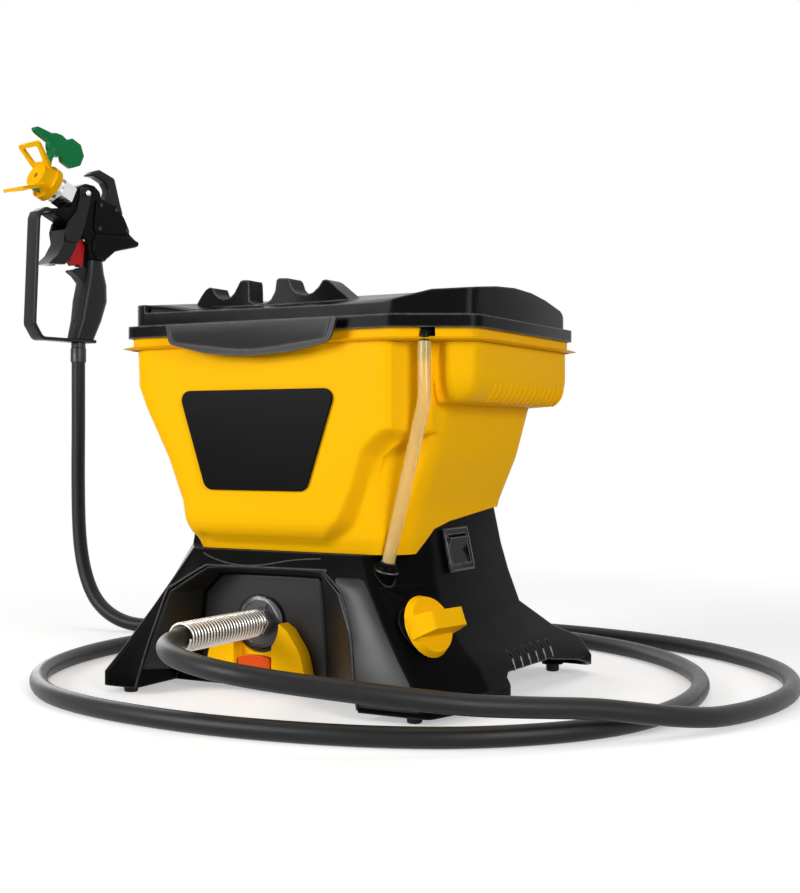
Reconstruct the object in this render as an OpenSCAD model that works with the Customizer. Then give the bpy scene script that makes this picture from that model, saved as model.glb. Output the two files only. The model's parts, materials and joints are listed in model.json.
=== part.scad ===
// Airless paint sprayer: a tank on a four-legged base, with its gun on a high-pressure hose.
// Millimetres, +Z up, the floor at Z = 0.

/* [Layout] */
// Place of the sprayer's middle along X
sprayer_x = 153; // [130:1:190]
// Place of the sprayer's middle along Y
sprayer_y = -40; // [-60:1:0]
// Place of the gun's swivel along X
gun_x = -300; // [-330:1:-270]
// Place of the gun's swivel along Y
gun_y = 110; // [90:1:140]
// Height of the lower end of the gun's grip
gun_z = 326; // [280:1:380]
// Heading of the gun, from +X
gun_heading = 260; // [230:1:280]

/* [Base] */
// Half the distance between the feet, left to right
foot_x = 137.5; // [110:0.5:160]
// Half the distance between the feet, front to back
foot_y = 136; // [110:0.5:150]
// Radius of a rubber foot
foot_r = 6; // [4:0.5:9]
// Height of the seat that the tank's floor rests on, at the front
seat_z = 124; // [110:1:150]
// Rise of the seat from front to back
seat_rise = 32; // [20:1:40]
// Wall of the base moulding
base_wall = 3.2; // [2.4:0.1:4.5]
// Half the width of the front arch at its foot
arch_half = 111; // [95:1:115]
// Place of the front arch's middle along X
front_x = -13; // [-20:1:0]
// Place of the panel at the back of the front arch
panel_y = -95; // [-105:1:-80]

/* [Tank] */
// Left side of the tank's rim
rim_x0 = -148; // [-160:1:-130]
// Right side of the tank's rim
rim_x1 = 176; // [150:1:190]
// Front of the tank's rim
rim_y0 = -136; // [-145:1:-125]
// Back of the tank's rim
rim_y1 = 98; // [80:1:120]
// Height of the top of the rim
rim_z = 301.5; // [280:0.5:340]
// Wall of the tank
tank_wall = 3; // [2:0.1:5]
// Width of the front plate at its top
plate_w = 154; // [120:1:160]
// Height of the front plate
plate_h = 82; // [60:1:90]

/* [Lid] */
// Thickness of the lid's skirt
skirt_h = 10.5; // [8:0.5:14]
// Height of the crown of the lid above the rim
crown_h = 38; // [30:1:50]
// Height of the gripping humps above the rim
hump_h = 48; // [42:1:60]
// Radius of the hinge pins
hinge_pin_r = 2; // [1.5:0.1:3]

/* [Outlet] */
// Place of the outlet along X
outlet_x = -30; // [-45:1:-15]
// Height of the outlet
outlet_z = 62; // [56:1:70]
// Diameter of the outlet's flange
flange_d = 46; // [36:1:50]
// Outer diameter of the hose
hose_d = 15.5; // [12:0.5:16]
// Outer diameter of the spring guard
guard_d = 24; // [23:0.5:28]
// Wire of the spring guard
guard_wire = 2.4; // [1.6:0.1:3]
// Distance from one curl of the spring guard to the next
guard_pitch = 3.9; // [3.4:0.1:6]
// Number of curls in the spring guard
guard_curls = 26; // [10:1:30]

/* [Controls] */
// Diameter of the pressure knob
knob_d = 50; // [40:1:56]
// Distance that the knob's handle stands out
knob_bar = 24; // [16:1:30]
// Height of the switch's recess
switch_h = 36; // [30:1:42]
// Width of the switch's recess
switch_w = 44; // [38:1:50]
// Outer diameter of the return tube
tube_d = 10.5; // [8:0.5:13]
// Wall of the return tube
tube_wall = 1.5; // [1:0.1:2.5]

/* [Gun] */
// Width of the gun's body
gun_w = 26; // [24:1:32]
// Width of the hand guard's strap
strap_w = 20; // [12:1:22]
// Rise of the spray axis
spray_angle = 24.5; // [15:1:32]
// Radius of the trigger's pin
trigger_pin_r = 2.5; // [2:0.1:3.5]
// Diameter of the spray tip's barrel
tip_d = 11; // [9:0.5:13]

/* [Hidden] */
$fn = 48;
gap = 0.3;           // clearance between pieces that only rest on each other
fit = 0.05;          // radial clearance of a pin that turns in its bore
seat_fit = 0.02;     // radial clearance of a pin that is fixed in its bore

// ---------- points and lofts ----------

function unit(v) = v / norm(v);
function heading(v) = atan2(v.y, v.x);

// the arc that rounds corner b of the outline, between its neighbours a and c, as n + 1 points
function corner(a, b, c, r, n) =
  let (u = unit(a - b), w = unit(c - b),
       half = acos(max(-1, min(1, u * w))) / 2,
       o = b + unit(u + w) * r / sin(half),
       p = b + u * r / tan(half), q = b + w * r / tan(half),
       h0 = heading(p - o), h1 = heading(q - o),
       turn = ((h1 - h0 + 540) % 360) - 180)
  [for (i = [0:n]) o + norm(p - o) * [cos(h0 + turn * i / n), sin(h0 + turn * i / n)]];

// an outline of [x, y, radius] corners, rounded with n steps each
function rounded(c, n = 5) =
  let (m = len(c))
  [for (i = [0:m - 1])
    let (b = [c[i].x, c[i].y], a = [c[(i + m - 1) % m].x, c[(i + m - 1) % m].y],
         d = [c[(i + 1) % m].x, c[(i + 1) % m].y])
    each corner(a, b, d, c[i].z, n)];

// a closed skin through rings of points, all of one length, wound anticlockwise seen from above
module skin(rings) {
  m = len(rings[0]);
  k = len(rings);
  polyhedron(
    points = [for (r = rings) each r],
    faces = concat(
      [[for (i = [0:m - 1]) i]],
      [for (j = [0:k - 2], i = [0:m - 1]) [j * m + i, (j + 1) * m + i, j * m + (i + 1) % m]],
      [for (j = [0:k - 2], i = [0:m - 1])
        [j * m + (i + 1) % m, (j + 1) * m + i, (j + 1) * m + (i + 1) % m]],
      [[for (i = [m - 1:-1:0]) (k - 1) * m + i]]),
    convexity = 8);
}

// a skin through outlines at heights
module loft(heights, outlines) {
  skin([for (j = [0:len(heights) - 1]) [for (p = outlines[j]) [p.x, p.y, heights[j]]]]);
}

module ring(r_out, r_in, h) {
  difference() {
    cylinder(r = r_out, h = h);
    translate([0, 0, -1]) cylinder(r = r_in, h = h + 2);
  }
}

// local +Z becomes the heading h at elevation e
module aim(place, h, e) {
  translate(place) rotate([0, 90 - e, h]) children();
}

module along_y(place) {
  translate(place) rotate([-90, 0, 0]) children();
}

module at_sprayer() {
  translate([sprayer_x, sprayer_y, 0]) children();
}

module at_gun() {
  translate([gun_x, gun_y, gun_z]) rotate([0, 0, gun_heading]) children();
}

// ---------- the base ----------

// rows of the base's flare: height, half width at the front corner, half width at the side,
// front, side's start, back
base_rows = [
  [6, 157, 176, -150, -84, 152],
  [18, 157, 176, -150, -84, 152],
  [35, 143, 167, -146, -82, 145],
  [48, 134, 153, -143, -80, 115],
  [72, 117, 134, -137, -78, 84],
  [100, 98, 124, -129, -76, 82],
  [seat_z, 84, 119, -119, -74, 77],
  [seat_z + seat_rise + 6, 76, 113, -112, -72, 72]];

function base_outline(row, t) =
  rounded([
    [-row[1] + t, row[3] + t, 8], [row[1] - t, row[3] + t, 8],
    [row[2] - t, row[4], 20], [row[2] - t, row[5] - t - 14, 10], [row[2] - t - 14, row[5] - t, 10],
    [-row[2] + t + 14, row[5] - t, 10], [-row[2] + t, row[5] - t - 14, 10], [-row[2] + t, row[4], 20]],
    3);

module base_loft(t, lift) {
  loft([for (r = base_rows) r[0] - lift], [for (r = base_rows) base_outline(r, t)]);
}

// the seat's side view: it climbs from the sump at the front to the back
seat_line = [
  [-200, 0], [-90, 0], [-66, 0.58], [-40, 0.74], [40, 0.98], [60, 1], [200, 1]];

module below_seat(drop) {
  rotate([90, 0, 90])
    translate([0, 0, -200])
      linear_extrude(400)
        polygon(concat(
          [for (p = seat_line) [p.x, seat_z + seat_rise * p.y - drop]],
          [[200, -20], [-200, -20]]));
}

// the front arch, seen from the front
module arch_profile(grow) {
  translate([front_x, 0])
    polygon([
      [-arch_half - grow, -5], [-arch_half + 16 - grow, 62], [-arch_half + 22 - grow, 88],
      [-54 - grow * 0.6, 110 + grow], [60 + grow * 0.6, 111 + grow], [arch_half - 30 + grow, 95],
      [arch_half - 15 + grow, 64], [arch_half + grow, -5]]);
}

module foot_places() {
  for (x = [-foot_x, foot_x], y = [-foot_y, foot_y]) translate([x, y, 0]) children();
}

pan_z = 21;                       // underside of the pan
pan_t = 3;
foot_boss_r = foot_r + 4;
foot_depth = 12;                  // length of a foot inside its boss
foot_out = 7;                     // length of a foot below its boss

knob_place = [124, -109, 65.5];
knob_heading = -12;
knob_rise = 22;
knob_seat = 12.6;                  // height of the boss under the knob
knob_boss_r = 20;
valve_r = 9;
socket_place = [100, -113, 112];
socket_r = 9.2;                   // radius of the ball that the return tube stands in
drain_z = seat_z + 26;            // top of the tank's drain
inlet_x = outlet_x;
inlet_y = -76;                    // the drain over the pump
inlet_r = 12;
spigot_r = 17.5;                  // the drain's spigot through the base's top
switch_place = [121, -30, 124];
switch_heading = 0;
switch_rise = 12;
switch_deep = 12;
vent_count = 6;

module vent_slots() {
  for (i = [0:vent_count - 1])
    translate([150, -22 + 16 * i, 30.5])
      rotate([-28, 0, 0])
        translate([-20, -1.6, 0]) cube([60, 3.2, 11]);
}

module base_shell() {
  color("#1b1b1d") {
    difference() {
      intersection() {
        base_loft(0, 0);
        below_seat(0);
      }
      difference() {
        intersection() {
          base_loft(base_wall, 1.5);
          below_seat(base_wall);
        }
        // the panel at the back of the arch stays, and the walls beside it
        translate([-220, panel_y - 60, pan_z - 60]) cube([440, 60 + base_wall, 400]);
      }
      // the hollow legs in front; the arch between them keeps its lining
      difference() {
        intersection() {
          base_loft(base_wall, 1.5);
          translate([-220, -220, -10]) cube([440, 220 + panel_y, seat_z - 8]);
        }
        translate([0, panel_y + 1, 0]) rotate([90, 0, 0]) linear_extrude(100) arch_profile(base_wall);
      }
      translate([0, panel_y, 0]) rotate([90, 0, 0]) linear_extrude(100) arch_profile(0);
      // the low arches at the sides and at the back
      rotate([90, 0, 90]) translate([0, 0, -220]) linear_extrude(440)
        polygon([[-44, -1], [-44, 24], [-38, 27], [45, 26], [72, 22], [105, 17.5], [128, 12], [151, 5],
                 [170, -1]]);
      translate([-118, 90, -1]) cube([236, 100, 33]);
      vent_slots();
      mirror([1, 0, 0]) vent_slots();
      // seats of the outlet, the knob's valve, the tube's socket, the switch and the cord
      along_y([outlet_x, panel_y - 10, outlet_z]) cylinder(r = 14, h = 20);
      along_y([outlet_x, panel_y - 10, pusher_z]) cylinder(r = pusher_r + gap, h = 20);
      translate([inlet_x, inlet_y, seat_z - 20]) cylinder(r = spigot_r + gap, h = 90);
      translate(socket_place) sphere(r = socket_r + gap);
      aim(switch_place, switch_heading, switch_rise)
        translate([-switch_h / 2 + 3, -switch_w / 2 + 3, -20]) cube([switch_h - 6, switch_w - 6, 60]);
      on_gland() translate([0, 0, -30]) cylinder(r = gland_r + gap, h = 60);
      on_knob() {
        translate([0, 0, -60]) cylinder(r = valve_r, h = 100);
        translate([0, 0, -60]) cylinder(r = valve_r + 4 + gap, h = 44);
      }
      along_tube() translate([0, 0, -30]) cylinder(r = 7.5 + gap, h = 30);
    }
    // a boss levels the wall under the knob
    aim(knob_place, knob_heading, knob_rise) translate([0, 0, -16])
      ring(knob_boss_r, valve_r, 16 + knob_seat - 0.4);
    // bosses for the feet, each tied to its leg's wall by a rib
    for (x = [-foot_x, foot_x], s = [-1, 1])
      translate([x, s * foot_y, foot_out])
        difference() {
          union() {
            cylinder(r = foot_boss_r, h = foot_depth + 1.7);
            translate([-2, s > 0 ? 4 : -4 - 9.4, 0]) cube([4, 9.4, foot_depth]);
          }
          translate([0, 0, -1]) cylinder(r = foot_r + fit, h = foot_depth + 1);
          cylinder(r = screw_r + fit, h = 30);
        }
  }
}

screw_r = 1.7;
gland_z = 86;
gland_y = base_rows[4][5] + (base_rows[5][5] - base_rows[4][5]) * (gland_z - base_rows[4][0])
          / (base_rows[5][0] - base_rows[4][0]);
gland_r = 6.7;
// the cord's gland stands square to the sloping back wall
module on_gland() {
  aim([-70, gland_y, gland_z], 90,
      atan2(base_rows[4][5] - base_rows[5][5], base_rows[5][0] - base_rows[4][0])) children();
}

module base_pan() {
  color("#232326")
    difference() {
      translate([0, 0, pan_z]) linear_extrude(pan_t)
        polygon([[-112, panel_y + base_wall + gap], [112, panel_y + base_wall + gap], [118, 60],
                 [foot_x + 9, foot_y - 14], [foot_x + 9, foot_y + 9], [foot_x - 9, foot_y + 9],
                 [92, 92], [-92, 92], [9 - foot_x, foot_y + 9], [-9 - foot_x, foot_y + 9],
                 [-9 - foot_x, foot_y - 14], [-118, 60]]);
      for (x = [-foot_x, foot_x])
        translate([x, foot_y, pan_z - 5]) cylinder(r = screw_r + fit, h = 20);
      for (x = [-60:12:60]) translate([x, 20, pan_z - 5]) cylinder(r = 2.5, h = 20);
    }
}

module rubber_feet() {
  color("#101011")
    foot_places()
      difference() {
        union() {
          translate([0, 0, 1]) cylinder(r = foot_r, h = foot_out + foot_depth - 1.3);
          cylinder(r1 = foot_r - 1, r2 = foot_r, h = 1);
        }
        translate([0, 0, -1]) cylinder(r = screw_r + 0.3, h = 30);
        translate([0, 0, -1]) cylinder(r = 4, h = 7);
      }
}

module foot_screws() {
  color("#8f9296")
    foot_places() {
      translate([0, 0, 3.6]) cylinder(r = 3.6, h = 2.3);
      translate([0, 0, 5]) cylinder(r = screw_r, h = 22);
    }
}

// ---------- the tank ----------

band_h = 8.5;          // height of the rim's band below the lid
band_in = 3;          // the band stands this far inside the lid's skirt
band_up = 4.5;        // and runs this far up inside it
chamfer_x = 59;       // the rim's front right corner is cut back this far along X
chamfer_y = 34;       // and this far along Y
lip_out = 3.5;        // the rim's lower lip stands out past the lid
band_z = rim_z - band_h;

// the rim's outline, moved in by t
function rim_outline(t, n = 4) =
  rounded([
    [rim_x0 + t, rim_y0 + t, 14], [rim_x1 - chamfer_x - t * 0.3, rim_y0 + t, 16],
    [rim_x1 - t, rim_y0 + chamfer_y + t * 0.5, 14],
    [rim_x1 - t, rim_y1 - t, 14], [rim_x0 + t, rim_y1 - t, 14]], n);

// rows of the tank's funnel: height, left, right, front, back, corner cut along X and Y, radius
funnel_rows = [
  [seat_z - 12, -84, 112, -112, 52, 16, 12, 16],
  [seat_z, -86, 114, -115, 54, 18, 14, 18],
  [seat_z + 12, -90, 117, -120, 61, 22, 18, 20],
  [seat_z + 38, -94, 121, -122, 67, 28, 22, 22],
  [seat_z + 76, -109, 133, -124, 77, 44, 28, 24],
  [band_z - 50, -133, 142, -126, 84, 52, 34, 26],
  [band_z - 32, -141, 150, -127, 88, 56, 34, 26],
  [band_z, rim_x0 + 5, rim_x1 - 10, rim_y0 + 8, rim_y1 - 5, 56, 34, 16]];

function funnel_outline(r, t) =
  rounded([
    [r[1] + t, r[3] + t, r[7]], [r[2] - r[5] - t * 0.3, r[3] + t, 14],
    [r[2] - t, r[3] + r[6] + t * 0.5, 14],
    [r[2] - t, r[4] - t, 16], [r[1] + t, r[4] - t, 16]], 4);

module funnel(t, top_up) {
  loft([for (r = funnel_rows) r[0] + (r[0] == band_z ? top_up : 0)],
       [for (r = funnel_rows) funnel_outline(r, t)]);
}

// the box that stands out over the switch, right of the return tube
box_drop = 49;        // depth of the box below the rim's band
box_left = 126;
module side_box(t, top_up) {
  bottom = band_z - box_drop + t;
  right = rim_x1 - 4 - t;
  front = rim_y0 + chamfer_y + 4 + t;
  loft([bottom, bottom + 9, bottom + 15, band_z + top_up],
    [for (e = [13, 3, 0.5, 0])
      rounded([
        [box_left + t, front + 3, 4], [right - 20, front - 13 + e * 0.5, 8], [right - e, front + e * 0.5, 8],
        [right - e, rim_y1 - 6 - t - e * 0.4, 12], [box_left + t, rim_y1 - 6 - t - e * 0.4, 4]], 3)]);
}

// rows of the tank's raised front: height, left, setback
chin_rows = [
  [seat_z + 4, -87, 12], [seat_z + 24, -92, 4], [seat_z + 40, -95, 0], [seat_z + 76, -110, 0],
  [band_z - 50, -134, 0], [band_z - 32, -142, 0], [band_z, rim_x0 + 4.5, 0]];
chin_y = rim_y0 + 2;  // the raised front's face
tube_x = 138;         // the return tube's upper run
tube_y = -121;
tube_bend_z = 246;

// the raised front's outline at its face, and where its slope meets the tank behind it
chin_face = rounded([
  [tube_x - 2, band_z + 1, 1], [-200, band_z + 1, 1], [-200, seat_z + 19, 1], [front_x - 52, seat_z + 19, 20],
  [front_x - 30, seat_z + 12, 18], [front_x + 49, seat_z + 11, 24], [front_x + 79, seat_z + 27, 24],
  [front_x + 92, seat_z + 55, 30], [front_x + 101, seat_z + 84, 24], [front_x + 117, seat_z + 98, 22],
  [tube_x - 2, seat_z + 111, 6]], 5);
chin_foot = rounded([
  [tube_x - 2, band_z + 1, 1], [-200, band_z + 1, 1], [-200, seat_z + 11, 1], [front_x - 54, seat_z + 11, 20],
  [front_x - 32, seat_z + 3, 18], [front_x + 57, seat_z + 3, 24], [front_x + 89, seat_z + 19, 24],
  [front_x + 104, seat_z + 52, 30], [front_x + 113, seat_z + 80, 22], [front_x + 127, seat_z + 88, 14],
  [tube_x - 2, seat_z + 97, 3]], 5);

function between(a, b, part) = [for (i = [0:len(a) - 1]) a[i] * (1 - part) + b[i] * part];

module chin() {
  intersection() {
    rotate([90, 0, 0])
      loft([90, -chin_y - 13, -chin_y - 4, -chin_y - 1.2, -chin_y + 0.5],
           [for (part = [1, 1, 0.34, 0.1, 0]) between(chin_face, chin_foot, part)]);
    loft([for (r = chin_rows) r[0]],
      [for (r = chin_rows)
        rounded([
          [r[1], chin_y + r[2], 20], [rim_x1 - chamfer_x - 7, chin_y + r[2], 18],
          [rim_x1 - 8, chin_y + chamfer_y + r[2], 12], [rim_x1 - 8, -10, 4], [r[1], -10, 4]], 4)]);
  }
}

channel_r = tube_d / 2 + 4;
module tube_channel(t) {
  translate([tube_x, tube_y, 240]) cylinder(r = channel_r + t, h = band_z - 240);
  along_tube() cylinder(r = tube_r + 1.5 + t, h = tube_run + 20);
}

// the ribs under the overhanging box
rib_count = 11;
module box_ribs() {
  for (i = [0:rib_count - 1])
    translate([rim_x1 - 4, -62 + i * 13.5, band_z - box_drop + 1])
      rotate([-32, 0, 0]) translate([-14, 0, 0]) cube([13.2, 2.2, 17]);
}

hinge_y = rim_y1 + 9;
hinge_z = rim_z + 2;
knuckle_r = 5;
knuckle_half = 6;     // half the length of a lid knuckle
hinge_span = 62;      // distance of each hinge from the middle of the rim
hinge_mid = (rim_x0 + rim_x1) / 2;

module hinge_places() {
  for (s = [-1, 1]) translate([hinge_mid + s * hinge_span, hinge_y, hinge_z]) children();
}

module along_x(length) {
  translate([-length / 2, 0, 0]) rotate([0, 90, 0]) children();
}

module hopper_knuckles() {
  hinge_places()
    for (s = [-1, 1])
      translate([s * (knuckle_half + 0.4 + 5), 0, 0]) {
        along_x(10) ring(knuckle_r, hinge_pin_r + seat_fit, 10);
        difference() {
          translate([-5, -16, -9]) cube([10, 16, 6.5]);
          along_x(12) cylinder(r = hinge_pin_r + 1, h = 12);
        }
      }
}

notch_w = 11;
module hopper() {
  color("#f6bd10") {
    difference() {
      union() {
        difference() {
          union() {
            funnel(0, 0);
            side_box(0, 0);
            chin();
          }
          below_seat(-gap);
          tube_channel(0);
        }
        // the rim: a band, and a thin lip that runs past the lid
        translate([0, 0, band_z]) linear_extrude(band_h + band_up) polygon(rim_outline(band_in));
        loft([band_z - 1.5, band_z, band_z + 2],
             [rim_outline(2), rim_outline(-lip_out), rim_outline(band_in - 0.5)]);
        box_ribs();
        // the drain's spigot
        translate([inlet_x, inlet_y, seat_z - 2]) cylinder(r = spigot_r, h = drain_z - seat_z + 2);
      }
      // the inside
      difference() {
        union() {
          funnel(tank_wall, 0.5);
          side_box(tank_wall, 0.5);
          translate([0, 0, band_z]) linear_extrude(30) polygon(rim_outline(band_in + tank_wall + 1));
        }
        below_seat(-tank_wall - gap);
        tube_channel(tank_wall);
        translate([inlet_x, inlet_y, seat_z - 2]) cylinder(r = spigot_r, h = drain_z - seat_z + 2);
      }
      // the drain, and the return tube's way in
      translate([inlet_x, inlet_y, seat_z - 5]) cylinder(r = inlet_r, h = 60);
      translate([tube_x, tube_y, band_z - 8]) cylinder(r = elbow_r + gap, h = 30);
      translate([tube_x - elbow_r - gap, tube_y, band_z + 2]) cube([notch_w, 20, 20]);
    }
    hopper_knuckles();
  }
}

plate_t = 2.2;
plate_top = seat_z + 132;
module front_plate() {
  color("#17171a")
    translate([front_x + 3, chin_y - gap / 3, plate_top - plate_h]) rotate([90, 0, 0])
      linear_extrude(plate_t)
        polygon(rounded([[-plate_w * 0.32, 0, 9], [plate_w * 0.32, 0, 9],
                         [plate_w * 0.5, plate_h, 8], [-plate_w * 0.5, plate_h, 8]], 5));
}

module hopper_strainer() {
  color("#b9bcc0")
    translate([inlet_x, inlet_y, drain_z + 0.2]) {
      difference() {
        union() {
          cylinder(r = spigot_r - 1, h = 2);
          cylinder(r = spigot_r - 4, h = 10);
        }
        translate([0, 0, -1]) cylinder(r = spigot_r - 6, h = 9.5);
        for (a = [0:45:315]) rotate([0, 0, a]) translate([8, 0, 5]) cylinder(r = 2, h = 8);
        translate([0, 0, 5]) cylinder(r = 3, h = 8);
      }
      translate([0, 0, -6]) ring(inlet_r - gap, inlet_r - 2, 6.5);
    }
}

// ---------- the lid ----------

skirt_wall = 2.2;
lid_t = 3;            // thickness of the lid's shell
lid_top = rim_z + skirt_h;
tier_in = 5.5;        // the crown stands this far inside the skirt

module crown_view(t) {
  c = rim_z + crown_h;
  rotate([90, 0, 90]) translate([0, 0, -200]) linear_extrude(400)
    polygon([[-160, lid_top - 6], [-160, c - 9 - t], [rim_y0 + 10 + t, c - 9 - t], [-103, c - 6.5 - t],
             [-60, c - 2 - t], [-24, c - t], [10, c - 1 - t], [40, c - 4.5 - t],
             [rim_y1 - 24, c - 11 - t], [rim_y1 - 10 - t, c - 18 - t], [rim_y1 - 6 - t, c - 28 - t],
             [rim_y1 + 20, c - 30], [rim_y1 + 20, lid_top - 6]]);
}

// the scoop at the front of the crown, in which the humps stand
module scoop(t) {
  c = rim_z + crown_h;
  hull() {
    translate([0, -170, 0]) rotate([90, 0, 0]) linear_extrude(1)
      polygon([[rim_x0 + 19 + t, c + 60], [rim_x0 + 19 + t, lid_top + 5 - t], [95, lid_top + 3 - t],
               [rim_x1 - 4, c - 8 - t], [rim_x1 - 4, c + 60]]);
    translate([0, -34, 0]) rotate([90, 0, 0]) linear_extrude(1)
      polygon([[rim_x0 + 26 + t, c + 60], [rim_x0 + 26 + t, c - t], [100, c - t], [140, c + 2],
               [140, c + 60]]);
  }
}

module crown(t) {
  difference() {
    intersection() {
      translate([0, 0, lid_top - 1 - t]) linear_extrude(60) polygon(rim_outline(tier_in + t));
      crown_view(t);
    }
    scoop(t);
  }
}

ridge_r = 260;        // the humps' front follows an arc
ridge_deep = 21;
ridge_x = -25;
// the humps seen from the front: place along X, height above the rim
ridge_view = [
  [-109, 20], [-105.5, 33.5], [-99, 40], [-94, 44], [-89, 45.8], [-84.5, 45], [-82, 40], [-77, 36],
  [-70, 34.5], [-63, 35.5], [-58.5, 39], [-55, 44], [-52, 48.2], [-49, 49.3], [-43.5, 49], [-42.5, 46],
  [-42, 31], [-36, 28.5], [-24, 28.5], [-19.5, 31.5], [-15.5, 38], [-14, 47.5], [-11.5, 48.8],
  [-3.5, 48.4], [-1.5, 46], [0.5, 40], [4, 36.5], [9, 34.5], [14, 34], [19.5, 35.5], [24.5, 40],
  [28, 45.4], [31, 46], [34, 44.5], [52, 28.5], [58, 20]];
module humps() {
  intersection() {
    translate([ridge_x, -98 + ridge_r, rim_z + 20])
      rotate([0, 0, 249]) rotate_extrude(angle = 42) translate([ridge_r - ridge_deep, 0])
        square([ridge_deep, 60]);
    rotate([90, 0, 0]) linear_extrude(160)
      polygon([for (p = ridge_view) [p.x, rim_z + p.y * hump_h / 48]]);
  }
}

latch_pivot = [front_x + 4, rim_y0 - 5.2, rim_z + 7];
latch_half = 83;      // half the width of the latch
lug_x = 60;           // distance of the latch's lugs from its middle
lug_r = 2.6;
latch_pin_r = 1.25;
module lid() {
  color("#2a2a2d") {
    difference() {
      union() {
        translate([0, 0, rim_z + gap]) linear_extrude(skirt_h - gap) polygon(rim_outline(0));
        crown(0);
        humps();
      }
      translate([0, 0, rim_z - 1]) linear_extrude(band_up + gap + 2.2) polygon(rim_outline(skirt_wall));
      crown(lid_t);
      translate([0, 0, rim_z]) linear_extrude(skirt_h + 1) polygon(rim_outline(tier_in + lid_t + 6));
    }
    // a spigot locates the lid in the tank's mouth
    difference() {
      translate([0, 0, band_z + 3]) linear_extrude(skirt_h + 5)
        difference() {
          polygon(rim_outline(band_in + tank_wall + 2.4));
          polygon(rim_outline(band_in + tank_wall + 5));
        }
      translate([tube_x - 14, tube_y - 10, band_z]) cube([28, 30, 14.5]);
    }
    hinge_places() {
      along_x(knuckle_half * 2) ring(knuckle_r, hinge_pin_r + fit, knuckle_half * 2);
      difference() {
        translate([-knuckle_half, -11, 0.5]) cube([knuckle_half * 2, 11, 6]);
        along_x(30) cylinder(r = hinge_pin_r + 1, h = 30);
      }
    }
    for (s = [-1, 1])
      translate([latch_pivot.x + s * lug_x, latch_pivot.y, latch_pivot.z])
        difference() {
          union() {
            along_x(8) cylinder(r = lug_r, h = 8);
            translate([-4, 0, -lug_r]) cube([8, 6, 2 * lug_r]);
          }
          along_x(10) cylinder(r = latch_pin_r + seat_fit, h = 10);
        }
  }
}

module lid_seal() {
  color("#141414")
    translate([0, 0, rim_z + band_up + 0.1])
      linear_extrude(band_up + 1.2 - band_up)
        difference() {
          polygon(rim_outline(band_in));
          polygon(rim_outline(band_in + tank_wall));
        }
}

module hinge_pins() {
  color("#9a9da1")
    hinge_places() along_x(2 * (knuckle_half + 11)) cylinder(r = hinge_pin_r, h = 2 * (knuckle_half + 11));
}

latch_t = 2.6;
latch_back = rim_y0 - 8.1;
module lid_latch() {
  color("#3a3838") {
    difference() {
      translate([latch_pivot.x, latch_back, 0]) rotate([90, 0, 0]) linear_extrude(latch_t)
        polygon(rounded([
          [-latch_half, rim_z + skirt_h - 1, 1], [-latch_half + 3, rim_z - 7, 6],
          [-latch_half * 0.5, rim_z - 16, 60], [0, rim_z - 19, 90], [latch_half * 0.5, rim_z - 16.5, 60],
          [latch_half - 6, rim_z - 10, 10], [latch_half, rim_z + skirt_h - 1, 1]], 3));
      // a sunk border
      translate([latch_pivot.x, latch_back - latch_t + 0.6, 0]) rotate([90, 0, 0]) linear_extrude(3)
        difference() {
          polygon(rounded([[-latch_half + 4, rim_z + 10, 1], [-latch_half + 8, rim_z - 6, 5],
                           [0, rim_z - 15.5, 200], [latch_half - 9, rim_z - 7, 8],
                           [latch_half - 4, rim_z + 10, 1]], 4));
          polygon(rounded([[-latch_half + 5, rim_z + 9, 1], [-latch_half + 9, rim_z - 5.4, 4],
                           [0, rim_z - 14.6, 200], [latch_half - 10, rim_z - 6.4, 7],
                           [latch_half - 5, rim_z + 9, 1]], 4));
        }
    }
    for (s = [-1, 1], e = [-1, 1])
      translate([latch_pivot.x + s * lug_x + e * 7.4, latch_pivot.y, latch_pivot.z])
        difference() {
          union() {
            along_x(6) cylinder(r = lug_r, h = 6);
            translate([-3, latch_back - latch_pivot.y - 0.1, -lug_r])
              cube([6, latch_pivot.y - latch_back, 2 * lug_r]);
          }
          along_x(8) cylinder(r = latch_pin_r + fit, h = 8);
        }
  }
}

module latch_pin() {
  color("#9a9da1")
    for (s = [-1, 1])
      translate([latch_pivot.x + s * lug_x, latch_pivot.y, latch_pivot.z])
        along_x(20) cylinder(r = latch_pin_r, h = 20);
}

// ---------- inside the base ----------

motor_x = 46;
motor_y = -18;
motor_z = 62;
motor_r = 30;
floor_z = pan_z + pan_t;
module motor() {
  color("#7c7f84")
    difference() {
      union() {
        translate([motor_x, motor_y, motor_z]) along_x(76) cylinder(r = motor_r, h = 76);
        translate([motor_x, motor_y, motor_z]) along_x(84) cylinder(r = 12, h = 84);
        for (s = [-1, 1])
          translate([motor_x + s * 26 - 5, motor_y - 22, floor_z + 0.1]) cube([10, 44, 24]);
      }
      translate([motor_x, motor_y, motor_z]) along_x(120) cylinder(r = 4.05, h = 120);
    }
}

module motor_fan() {
  color("#3b3b3e")
    translate([motor_x, motor_y, motor_z]) rotate([0, 90, 0]) {
      translate([0, 0, -46]) cylinder(r = 4, h = 102);
      translate([0, 0, 46]) ring(8, 4, 8);
      for (a = [0:45:315])
        rotate([0, 0, a]) translate([6, -1, 47]) cube([17, 2, 7]);
    }
}

module gear_housing() {
  color("#8d9095")
    difference() {
      union() {
        translate([-52, -46, floor_z + 0.1]) cube([52, 54, 78]);
        translate([-26, -19, floor_z + 78]) cylinder(r = 20, h = 6);
      }
      translate([-8, motor_y, motor_z]) rotate([0, 90, 0]) cylinder(r = 9, h = 20);
    }
}

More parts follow.
